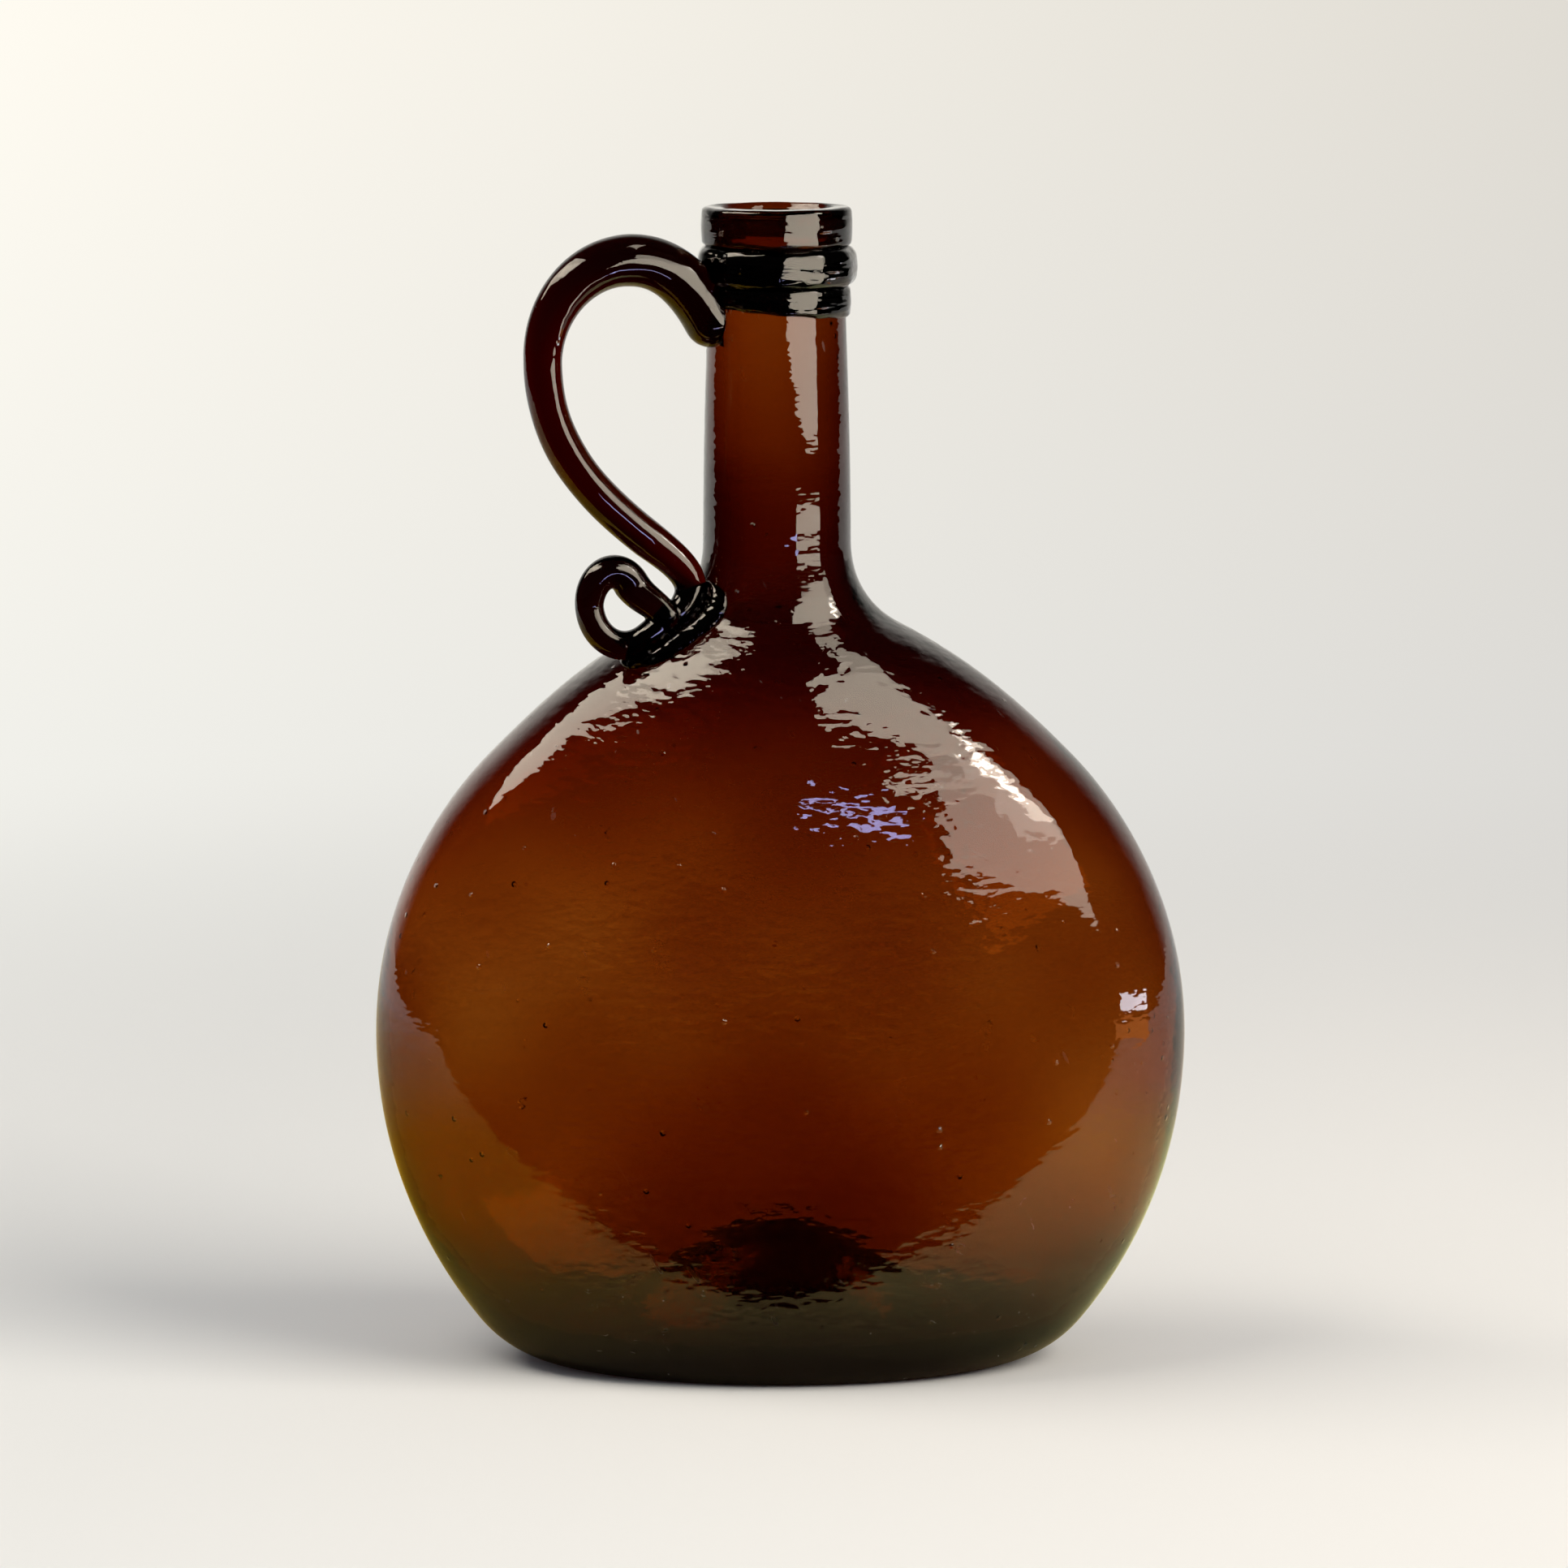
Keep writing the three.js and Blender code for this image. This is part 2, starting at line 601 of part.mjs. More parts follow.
// The scar: a low ring that follows the dome of the push-up, just under it, with a rounded underside.
function pontilScar() {
  const share = footShare(heel.v0.x, outerDepth);
  const dome = underside.getPoints(floorSteps * scarColumns).map((point) => [point.x, point.y]);
  const sides = Array.from({ length: scarColumns + 1 }, (_, i) => (2 * i) / scarColumns - 1);
  const middle = (scarDiameter - scarWidth) / 2;
  const place = (side, thickness) => {
    const radius = middle + (side * scarWidth) / 2;
    return [radius, follow(dome, radius) - turnGap - thickness];
  };
  const top = sides.map((side) => place(side, 0));
  const bottom = sides.map((side) => place(side, scarThickness * bulge(side, 2)));
  const section = [...bottom, ...top.toReversed()];
  return closedSurface(section.map(([radius, z]) => ovalRow(radius, radius * share, z, aroundScar)), true);
}

function glassMaterial(color) {
  return new THREE.MeshStandardMaterial({ color, roughness: 0.05, transparent: true, opacity: 0.9 });
}

function piece(name, geometry, color) {
  geometry.computeVertexNormals();
  const mesh = new THREE.Mesh(geometry, glassMaterial(color));
  mesh.name = name;
  return mesh;
}

const flask = new THREE.Group();
flask.add(
  piece("flask_body", flaskBody(), amber),
  piece("lip_band", neckRing(lipBand), darkAmber),
  piece("collar_ring", neckRing(collar), darkAmber),
  piece("trail_ring", neckRing(trail), darkAmber),
  piece("handle", handle(), darkAmber),
  piece("handle_pad", handlePad(0), darkAmber),
  piece("pontil_scar", pontilScar(), amber),
);

export default flask;
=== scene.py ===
# %% [markdown]
# # A blown amber flask with a drawn handle
#
# The flask is one bubble of amber glass, blown and flattened while soft, with threads of the same glass wound
# round its neck and one thick thread drawn out into a handle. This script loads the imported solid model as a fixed
# frame, builds a finer piece of glass over each of its nodes, and sets them in a plain pale studio. The formulas
# of the pieces are in millimetres, and a mesh gets metres. The studio is in metres.

from math import asin, cos, pi, radians, sin, tan

import bpy
import numpy as np
from mathutils import Matrix, Vector


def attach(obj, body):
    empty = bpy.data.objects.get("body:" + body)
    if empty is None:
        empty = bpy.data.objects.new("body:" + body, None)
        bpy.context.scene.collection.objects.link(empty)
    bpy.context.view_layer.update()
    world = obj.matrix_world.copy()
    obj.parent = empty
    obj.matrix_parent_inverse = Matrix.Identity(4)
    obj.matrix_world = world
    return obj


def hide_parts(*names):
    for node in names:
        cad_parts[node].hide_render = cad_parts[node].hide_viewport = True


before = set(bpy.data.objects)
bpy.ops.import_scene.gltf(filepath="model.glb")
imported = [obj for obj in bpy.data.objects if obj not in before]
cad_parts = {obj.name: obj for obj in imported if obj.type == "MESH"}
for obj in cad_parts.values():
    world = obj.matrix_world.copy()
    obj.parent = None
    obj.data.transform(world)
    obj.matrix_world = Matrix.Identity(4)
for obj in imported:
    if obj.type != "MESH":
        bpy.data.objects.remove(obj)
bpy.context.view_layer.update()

# %% [markdown]
# ## Sizes
#
# The flask is 210 mm tall. Its sizes are the solid model's own, so every glass piece lands on its node. A heel, a
# belly of two ellipses, a sloping shoulder and a hollow turn into the neck give the outline.

# %% Sizes of the flask
MM = 0.001                                      # a millimetre in metres
HEIGHT, WIDTH, DEPTH = 210, 147, 76
HEEL_HEIGHT = 8                                 # the wall starts here, above the turn to the base
BELLY_HEIGHT, BELLY_LOW, BELLY_TURN = 60, 79, radians(45)  # widest place, reach below it, end of the arc above it
SHOULDER_WIDTH, SHOULDER_HEIGHT, SHOULDER_SLOPE = 44, 135, radians(28)
BELLY_HIGH = 0.98 * (SHOULDER_HEIGHT - BELLY_HEIGHT)       # reach of the arc above the widest place
NECK_BASE, NECK_MIDDLE = 150, 178
NECK_WIDTHS = 26.8, 25.8, 23.2                  # at the neck's base, at its middle and under the mouth
NECK_OFFSET = 0.6                               # the neck stands this much towards the handle
BORE = 18.4
BELLY_WALL, SHOULDER_WALL, HEEL_WALL, FLOOR = 2.8, 4.4, 4.6, 6
PUSH_UP_HEIGHT, PUSH_UP_WIDTH, PUSH_UP_CROWN, PUSH_UP_FLARE = 20, 66, 15, 14
TOUCH = 0.2                                     # an applied piece reaches this far into the glass that it sits on
print("flask:", HEIGHT, "x", WIDTH, "x", DEPTH, "mm")

# %% [markdown]
# ## Curves as arrays
#
# A glass outline has no corners, so it is drawn with Bezier curves: a few points pull on a curve that leaves and
# arrives in known directions. Blender has such curves too, but numbers in an array can be measured, cut and joined
# before they become a surface. Each helper works out all its points at once.


# %% Curve helpers
def bezier(pulls, count):
    """A Bezier curve: blends each pulling point with the next by the share t, again and again, until one is left."""
    t = np.linspace(0, 1, count)[:, None]
    level = [np.asarray(p, float) + 0 * t for p in pulls]
    while len(level) > 1:
        level = [a * (1 - t) + b * t for a, b in zip(level, level[1:])]
    return level[0]


def eased(start, leaving, end, arriving, pull=0.38, count=40):
    """A Bezier curve that leaves and arrives in given directions; pull is how long it holds them, as a share."""
    start, end = np.asarray(start, float), np.asarray(end, float)
    leaving, arriving = (np.asarray(v, float) / np.linalg.norm(v) for v in (leaving, arriving))
    reach = pull * np.linalg.norm(end - start)
    return bezier([start, start + reach * leaving, end - reach * arriving, end], count)


def arc(centre, radii, start, end, count=40):
    """Part of an ellipse: centre plus (first radius times cosine, second radius times sine) of the angle."""
    angle = np.linspace(start, end, count)
    return np.stack([centre[0] + radii[0] * np.cos(angle), centre[1] + radii[1] * np.sin(angle)], axis=1)


def joined(*lines):
    """Lines one after another, each without its first point, where the line before it ends."""
    return np.concatenate([lines[0]] + [line[1:] for line in lines[1:]])


def run_along(line):
    """Length along a line up to each of its points: the running sum of its steps."""
    return np.concatenate([[0], np.cumsum(np.linalg.norm(np.diff(line, axis=0), axis=1))])


def evenly(line, count):
    """The same line with count points, evenly spaced along its length."""
    run = run_along(line)
    at = np.linspace(0, run[-1], count)
    return np.stack([np.interp(at, run, column) for column in line.T], axis=1)


print("a quarter turn of radius 10 mm is", round(run_along(arc((0, 0), (10, 10), 0, pi / 2))[-1], 2), "mm long")

# %% [markdown]
# ## The outline of the blown bubble
#
# A glassblower gets the flat round form by pressing a soft sphere between two boards. The half outline is given
# as half width and height. The inside follows the outside with a wall that is thin at the belly, where the
# bubble stretched most, and thick at the shoulder, heel and floor.


# %% Outline of the wall
def wall(half_width, low_reach, high_reach, bottom, turn, root_radius):
    """Half outline from heel to neck: lower ellipse, upper ellipse, sloping shoulder, hollow turn to the neck."""
    lowest = -asin((BELLY_HEIGHT - bottom) / low_reach)
    lower = arc((0, BELLY_HEIGHT), (half_width, low_reach), lowest, 0, count=90)
    upper = arc((0, BELLY_HEIGHT), (half_width, high_reach), 0, BELLY_TURN, count=60)
    leaving = (-half_width * sin(BELLY_TURN), high_reach * cos(BELLY_TURN))
    slope = (-cos(SHOULDER_SLOPE), sin(SHOULDER_SLOPE))
    shoulder = eased(upper[-1], leaving, turn, slope)
    hollow = eased(turn, slope, (root_radius, NECK_BASE), (0, 1))
    return joined(lower, upper, shoulder, hollow)


turn_out = np.array([SHOULDER_WIDTH / 2, SHOULDER_HEIGHT])
turn_shift = SHOULDER_WALL * np.array([sin(SHOULDER_SLOPE), cos(SHOULDER_SLOPE)])
outer_wall = wall(WIDTH / 2, BELLY_LOW, BELLY_HIGH, HEEL_HEIGHT, turn_out, NECK_WIDTHS[0] / 2)
inner_wall = wall(WIDTH / 2 - BELLY_WALL, BELLY_LOW - HEEL_WALL, BELLY_HIGH - BELLY_WALL,
                  HEEL_HEIGHT + HEEL_WALL, turn_out - turn_shift, BORE / 2)
print("wall from heel to neck:", round(run_along(outer_wall)[-1], 1), "mm along the outside")

# %% [markdown]
# ## Heel, push-up and neck
#
# The hot base was pushed up with a tool so that the flask stands on a ring and not on a bulge. The heel turns the
# wall into the base, and the push-up rises inside it. The neck is nearly straight and tapers to the mouth.


# %% Heel, push-up and neck
def heel(side, flat):
    """The turn from the wall to the flat: a quadratic curve pulled to where the wall would meet the floor."""
    start, above = side[0], side[1]
    slope = (above[0] - start[0]) / (above[1] - start[1])
    corner = np.array([start[0] - (start[1] - flat) * slope, flat])
    end = corner - [np.linalg.norm(corner - start), 0]
    return bezier([end, corner, start], count=30)


def rise(top, foot_radius, foot, crown, flare):
    """The rise in the base: a Bezier curve, level over its round top and level again where it meets its foot."""
    return bezier([(0, top), (crown, top), (foot_radius - flare, foot), (foot_radius, foot)], count=60)


def spline(points, count):
    """A smooth line through three points: the parabola of each coordinate over the running length."""
    points = np.asarray(points, float)
    run = run_along(points)
    at = np.linspace(0, run[-1], count)
    return np.stack([np.polyval(np.polyfit(run, column, 2), at) for column in points.T], axis=1)


outer_heel, inner_heel = heel(outer_wall, 0), heel(inner_wall, FLOOR)
foot_radius, inner_foot = outer_heel[0, 0], inner_heel[0, 0]
under = rise(PUSH_UP_HEIGHT, PUSH_UP_WIDTH / 2, 0, PUSH_UP_CROWN, PUSH_UP_FLARE)
floor_inside = rise(PUSH_UP_HEIGHT + FLOOR, inner_foot, FLOOR, PUSH_UP_CROWN + FLOOR / 2, PUSH_UP_FLARE)
neck_line = spline([(NECK_WIDTHS[0] / 2, NECK_BASE), (NECK_WIDTHS[1] / 2, NECK_MIDDLE),
                    (NECK_WIDTHS[2] / 2, HEIGHT - 1)], count=60)
print("standing ring from", PUSH_UP_WIDTH / 2, "to", round(foot_radius, 1), "mm")

# %% [markdown]
# ## From round to oval
#
# The boards flattened the belly but never touched the neck, so a level cut through the flask is a circle at the
# neck and an oval at the belly. One rule gives the depth that goes with each half width.


# %% Depth for each width
def half_depth(half_width, round_radius, full_width, full_depth):
    """Half depth for a half width: equal to it up to the neck's radius, then in a straight line to the belly's."""
    share = np.clip((half_width - round_radius) / (full_width - round_radius), 0, 1)
    return np.minimum(half_width, round_radius) + share * (full_depth - round_radius)


def outer_depth(half_width):
    """Half depth of the outside."""
    return half_depth(half_width, NECK_WIDTHS[0] / 2, WIDTH / 2, DEPTH / 2)


def inner_depth(half_width):
    """Half depth of the inside."""
    return half_depth(half_width, BORE / 2, WIDTH / 2 - BELLY_WALL, DEPTH / 2 - BELLY_WALL)


def lean(z):
    """The neck stands a little towards the handle: a smooth step from the belly's top to the neck's base."""
    top = BELLY_HEIGHT + BELLY_HIGH * sin(BELLY_TURN)
    t = np.clip((z - top) / (NECK_BASE - top), 0, 1)
    return -NECK_OFFSET * t * t * (3 - 2 * t)


print("half depth at half widths 10, 40 and 70 mm:", np.round(outer_depth(np.array([10, 40, 70])), 1).tolist())

# %% [markdown]
# ## From grids of points to meshes
#
# Every piece is a grid of points: rows that close into rings, joined to the next row by four-sided faces. The
# ends close on a middle point, or the last row joins the first as on a tyre. A spun profile with a modifier could
# do the round parts, but not the oval belly, the uneven rings or the handle, so one mesh maker serves them all.


# %% Mesh maker
def make_mesh(name, rings, ends_join=False):
    """A closed mesh from rings of points, shape (rings, around, 3) in mm. Faces point away from the inside."""
    count, around = rings.shape[:2]
    row = np.arange(count if ends_join else count - 1)[:, None]
    column = np.arange(around)[None, :]
    here, beside = row * around + column, row * around + (column + 1) % around
    above, across = (here + around) % (count * around), (beside + around) % (count * around)
    quads = np.stack([here, beside, across, above], axis=-1).reshape(-1, 4)
    points, fans = rings.reshape(-1, 3), np.empty((0, 3), int)
    if not ends_join:
        ring = np.arange(around)
        first, last = np.full(around, len(points)), np.full(around, len(points) + 1)
        end = (count - 1) * around
        fans = np.concatenate([np.stack([first, (ring + 1) % around, ring], 1),
                               np.stack([last, end + ring, end + (ring + 1) % around], 1)])
        points = np.concatenate([points, rings[0].mean(0)[None], rings[-1].mean(0)[None]])
    corners = np.concatenate([quads.ravel(), fans.ravel()]).astype(np.int32)
    sides = np.concatenate([np.full(len(quads), 4), np.full(len(fans), 3)])
    mesh = bpy.data.meshes.new(name)
    mesh.vertices.add(len(points))
    mesh.vertices.foreach_set("co", (points * MM).astype(np.float32).ravel())
    mesh.loops.add(len(corners))
    mesh.loops.foreach_set("vertex_index", corners)
    mesh.polygons.add(len(sides))
    mesh.polygons.foreach_set("loop_start", np.concatenate([[0], np.cumsum(sides)[:-1]]).astype(np.int32))
    mesh.update(calc_edges=True)
    mesh.shade_smooth()
    return mesh


trial = make_mesh("trial", np.zeros((2, 6, 3)))
print("two rings of six points make", len(trial.polygons), "faces")
bpy.data.meshes.remove(trial)

# %% [markdown]
# ## From meshes to pieces of the flask
#
# A mesh shows only through an object. Each object stays at the origin, because its place is in its mesh, and the
# solid model's parts that it stands for are hidden.


# %% Objects and pieces
def add_object(name, mesh):
    """An object at the origin that holds a mesh."""
    obj = bpy.data.objects.new(name, mesh)
    bpy.context.scene.collection.objects.link(obj)
    return obj


def finish_piece(obj, slot, *nodes):
    """The piece moves with the flask and stands for its nodes. The slot is not used."""
    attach(obj, "root")
    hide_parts(*nodes)
    print(obj.name, "triangles:", sum(len(p.vertices) - 2 for p in obj.data.polygons))


print("nodes to stand for:", sorted(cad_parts))

# %% [markdown]
# ## Rings and slow waves
#
# Cooling glass never stays quite even: the boards, the tools and its own weight leave slow waves that the eye
# reads as wobbling reflections. They are real movements of the surface here, not only a pattern in the material.


# %% Rings and slow waves
def oval_rings(outline, depths, around):
    """Rings round the flask: half width times cosine across, half depth times sine deep, at each height."""
    angle = np.linspace(0, 2 * pi, around, endpoint=False)
    x = lean(outline[:, 1])[:, None] + outline[:, :1] * np.cos(angle)
    y = depths[:, None] * np.sin(angle)
    z = outline[:, 1:] + 0 * angle
    return np.stack([x, y, z], axis=-1)


def slow_waves(points, wavelength, seed, count=8):
    """A smooth random height from about -1 to 1: sine waves of about one length in random directions, added."""
    rng = np.random.default_rng(seed)
    heading = rng.normal(size=(count, points.shape[-1]))
    heading /= np.linalg.norm(heading, axis=1)[:, None]
    heading *= 2 * pi / (wavelength * rng.uniform(0.7, 1.4, (count, 1)))
    return np.sin(points @ heading.T + rng.uniform(0, 2 * pi, count)).sum(-1) / count ** 0.5 / 1.5


def ring_normals(rings):
    """Outward directions on a grid of rings: the cross product of the steps round it and along it."""
    around = np.roll(rings, -1, axis=1) - np.roll(rings, 1, axis=1)
    along = np.gradient(rings, axis=0)
    normal = np.cross(around, along)
    return normal / np.maximum(np.linalg.norm(normal, axis=-1, keepdims=True), 1e-9)


AROUND = 240                                    # points round the body
widest = oval_rings(np.array([[WIDTH / 2, BELLY_HEIGHT]]), np.array([DEPTH / 2]), AROUND)[0]
print("round the belly:", round(run_along(widest)[-1]), "mm")

# %% [markdown]
# ## The blown body
#
# One closed skin runs from the middle of the underside over the heel, belly, shoulder and neck, over the rim and
# down the inside to the floor. A Solidify modifier would give an even wall; here each skin has its own outline,
# because the thickness of the glass is what sets its colour.

# %% Rings of the body
NECK_TOP = HEIGHT - 1.2                         # the band's own rim stands above it
RIM = 0.9                                       # radius of the rim's two edges
rim_out = float(np.interp(NECK_TOP, neck_line[:, 1], neck_line[:, 0]))
rim = joined(arc((rim_out - RIM, NECK_TOP - RIM), (RIM, RIM), 0, pi / 2, count=5),
             arc((BORE / 2 + RIM, NECK_TOP - RIM), (RIM, RIM), pi / 2, pi, count=5))
neck_shown = neck_line[neck_line[:, 1] < NECK_TOP - RIM]
outside = joined(outer_heel, evenly(outer_wall, 130), evenly(neck_shown, 34))
inside = joined(np.array([[BORE / 2, NECK_TOP - RIM], [BORE / 2, NECK_BASE]]), inner_wall[::-1])
inside = joined(evenly(inside, 110), inner_heel[::-1])
under_share = outer_depth(foot_radius) / foot_radius
floor_share = inner_depth(inner_foot) / inner_foot
base, ground = evenly(under, 34)[1:], evenly(floor_inside, 30)[1:][::-1]
base_rings = oval_rings(base, base[:, 0] * under_share, AROUND)
outer_rings = oval_rings(outside, outer_depth(outside[:, 0]), AROUND)
rim_rings = oval_rings(rim, rim[:, 0], AROUND)
inner_rings = oval_rings(inside, inner_depth(inside[:, 0]), AROUND)
ground_rings = oval_rings(ground, ground[:, 0] * floor_share, AROUND)
print("rings: base", len(base), "outside", len(outside), "rim", len(rim), "inside", len(inside), "floor", len(ground))

# %% [markdown]
# ## Uneven glass
#
# Blown glass is thicker where it cooled first. The extra thickness is read off the colour of the real flask:
# darker middle and shoulder, lighter flanks and upper neck. It moves the inside only. The waves of the outside
# only cut inwards, so the flask keeps its size.

# %% Waves and thickness
OUTER_WAVE, OUTER_LENGTH = 0.12, 42             # mm that the slow waves move the skin, and about how long they are
INNER_WAVE, INNER_LENGTH = 0.3, 38
FLOOR_WAVE, FLOOR_LENGTH = 0.4, 20
MIDDLE_REACH = 34                               # mm sideways over which the middle's share fades
EXTRA_IN_MIDDLE = [(12, 0.8), (36, 1.1), (62, 0), (85, 0.2), (112, 0.9), (132, 1.4), (152, 0.6), (166, -0.35)]
EXTRA_AT_SIDES = [(12, 0.3), (25, -0.6), (60, -0.5), (90, -0.2), (112, 0.6), (132, 1.2), (152, 0.6), (166, -0.35)]
cut_in = OUTER_WAVE * (1 + slow_waves(outer_rings, OUTER_LENGTH, seed=3)) / 2
outer_rings -= ring_normals(outer_rings) * cut_in[..., None]
middle_share = np.exp(-(inner_rings[..., 0] / MIDDLE_REACH) ** 2)
extra = (np.interp(inner_rings[..., 2], *np.transpose(EXTRA_IN_MIDDLE)) * middle_share
         + np.interp(inner_rings[..., 2], *np.transpose(EXTRA_AT_SIDES)) * (1 - middle_share))
thicker = extra + INNER_WAVE * slow_waves(inner_rings, INNER_LENGTH, seed=5)
inner_rings += ring_normals(inner_rings) * thicker[..., None]
ground_rings[..., 2] += FLOOR_WAVE * slow_waves(ground_rings, FLOOR_LENGTH, seed=7)
body = add_object("flask_body_glass", make_mesh(
    "flask_body_glass", np.concatenate([base_rings, outer_rings, rim_rings, inner_rings, ground_rings])))
finish_piece(body, "body_glass", "flask_body")
print("extra thickness from", round(thicker.min(), 2), "to", round(thicker.max(), 2), "mm")

# %% [markdown]
# ## The wound collar
#
# A straight band at the mouth, a wide round ring and a thin last turn were trailed on as hot threads and shaped
# with a tool while the flask turned, which leaves them slightly uneven. A torus would be too regular, so each ring
# is a section carried round the neck, with its own waves. The sections reach a little into the neck, so the glass
# reads as fused.


# %% Build the collar rings
def neck_radius(z):
    """Radius of the neck's outside at a height."""
    return np.interp(z, neck_line[:, 1], neck_line[:, 0])


SIDE_BULGE = 0.12                               # a ring's side swells this much between its two edges
SIDE_WAVE, LOW_WAVE, TOP_WAVE = 18, 14, 16      # about how long the waves are on its side and its two edges


def wound_ring(name, low, high, diameter, edges, slant=0, wobble=0.15, seed=0, inner=None, around=192):
    """A ring round the neck: a section with two rounded edges, whose outside bulges, dips and slants round it.
    The radius is half the diameter less the waves, and each edge is a quarter circle of its own radius."""
    angle = np.linspace(0, 2 * pi, around, endpoint=False)
    circle = np.stack([np.cos(angle), np.sin(angle)], 1) * diameter
    outer = diameter / 2 - wobble + wobble * slow_waves(circle, SIDE_WAVE, seed)
    bottom = low - slant * np.cos(angle) + wobble * slow_waves(circle, LOW_WAVE, seed + 1)
    top = high - wobble / 2 + wobble / 2 * slow_waves(circle, TOP_WAVE, seed + 2)
    t = np.linspace(0, pi / 2, 9)[:, None]
    low_r, low_z = outer - edges[0] + edges[0] * np.sin(t), bottom + edges[0] - edges[0] * np.cos(t)
    top_r, top_z = outer - edges[1] + edges[1] * np.cos(t), top - edges[1] + edges[1] * np.sin(t)
    s = np.linspace(0, 1, 8)[1:-1, None]
    side_r = low_r[-1] + s * (top_r[0] - low_r[-1]) + SIDE_BULGE * np.sin(pi * s)
    side_z = low_z[-1] + s * (top_z[0] - low_z[-1])
    inner_low = neck_radius(bottom) - TOUCH if inner is None else inner + 0 * bottom
    inner_top = neck_radius(top) - TOUCH if inner is None else inner + 0 * top
    radii = np.concatenate([inner_low[None], low_r, side_r, top_r, inner_top[None]])
    heights = np.concatenate([bottom[None], low_z, side_z, top_z, top[None]])
    rings = np.stack([radii * np.cos(angle) - NECK_OFFSET, radii * np.sin(angle), heights], -1)
    return add_object(name, make_mesh(name, rings, ends_join=True))


BAND_LOW, COLLAR_LOW, TRAIL_LOW = 203.4, 195.9, 191.4
band = wound_ring("lip_band_glass", BAND_LOW - 0.3, HEIGHT, 27, (0.8, 0.9), wobble=0.12, seed=11, inner=10.2)
collar = wound_ring("collar_ring_glass", COLLAR_LOW - 0.2, BAND_LOW, 29, (2.2, 2.6), wobble=0.2, seed=21)
trail = wound_ring("trail_ring_glass", TRAIL_LOW, COLLAR_LOW + 0.1, 26.7, (0.9, 0.7), slant=1.1, seed=31)
finish_piece(band, "applied_glass", "lip_band")
finish_piece(collar, "applied_glass", "collar_ring")
finish_piece(trail, "applied_glass", "trail_ring")

# %% [markdown]
# ## Places on the shoulder
#
# The handle's foot, its curl and the pad under them all follow the shoulder. One function turns "this far out, this
# far sideways, this far above the glass" into a place, so they keep touching when the outline changes.

# %% Places on the shoulder
HANDLE_TURN = radians(20)                       # the handle stands in an upright plane, turned to the front
SLOPE_STEP = 0.2                                # mm of half width over which the slope is measured
upper_wall = outer_wall[outer_wall[:, 1] >= BELLY_HEIGHT][::-1]


def on_shoulder(half_width, sideways, above):
    """A place on the shoulder by half width, sideways from the handle's plane, and height square to the glass.
    The angle is the plane's plus sideways over the length of a radian there. Square to the glass is the cross
    product of the steps round the flask and up it."""
    z = np.interp(half_width, upper_wall[:, 0], upper_wall[:, 1])
    ahead = np.interp(half_width - SLOPE_STEP, upper_wall[:, 0], upper_wall[:, 1])
    depth, less = outer_depth(half_width), outer_depth(half_width - SLOPE_STEP)
    middle = pi + np.arctan(half_width / depth * tan(HANDLE_TURN))
    per_radian = np.hypot(half_width * np.sin(middle), depth * np.cos(middle))
    angle = middle + sideways / per_radian
    c, s = np.cos(angle), np.sin(angle)
    place = np.stack([lean(z) + half_width * c, depth * s, z + 0 * angle], -1)
    around = np.stack([-half_width * s, depth * c, 0 * angle], -1)
    up = np.stack([-SLOPE_STEP * c, (less - depth) * s, ahead - z + 0 * angle], -1)
    normal = np.cross(around, up)
    normal /= np.linalg.norm(normal, axis=-1, keepdims=True)
    return place + normal * np.asarray(above)[..., None]


def in_plane(place):
    """The same place as distance from the neck's axis, measured along the handle's plane, and height."""
    distance = -(place[..., 0] + NECK_OFFSET) * cos(HANDLE_TURN) - place[..., 1] * sin(HANDLE_TURN)
    return np.stack([distance, place[..., 2]], -1)


print("on the shoulder, 25 mm out:", np.round(on_shoulder(np.array([25.0]), 0, 0)[0], 1).tolist())

# %% [markdown]
# ## The handle's path
#
# The maker pressed a thick blob under the collar, drew it out and over in an arch, laid it on the shoulder and
# turned its end back into a curl. The rod's middle line is drawn in the handle's plane as distance from the
# neck's axis and height. Each stretch leaves in the direction in which the one before it arrived.

# %% Draw the handle's path
ROOT_HEIGHT, ROOT_SLOPE = 190, radians(60)
ARCH, FAR = np.array([28, 201]), np.array([44.1, 183.5])   # the top of the arch, and the place farthest out
ELBOW, ELBOW_SLOPE = np.array([24.4, 151]), radians(38)
SEAT_ABOVE, SEAT_FROM, SEAT_TO, SEAT_FORWARD = 2.3, 19.2, 27.5, 3
CURL_TOP, CURL_SIDE, CURL_RISE, CURL_TURN = 31.2, 4.4, 11.8, radians(145)
TIP_WIDTH, TIP_FORWARD, TIP_ABOVE, TIP_SLOPE = 23, 4, 4, radians(55)
root = np.array([neck_radius(ROOT_HEIGHT), ROOT_HEIGHT])
seat = in_plane(on_shoulder(np.linspace(SEAT_FROM, SEAT_TO, 30), SEAT_FORWARD, np.full(30, SEAT_ABOVE)))
falling = (-cos(ELBOW_SLOPE), -sin(ELBOW_SLOPE))
curl_middle = seat[-1, 1] + CURL_RISE / 2
over = arc((CURL_TOP, curl_middle), (CURL_SIDE, CURL_RISE / 2), 0, CURL_TURN)
tip = in_plane(on_shoulder(np.array([TIP_WIDTH]), TIP_FORWARD, np.array([TIP_ABOVE])))[0]
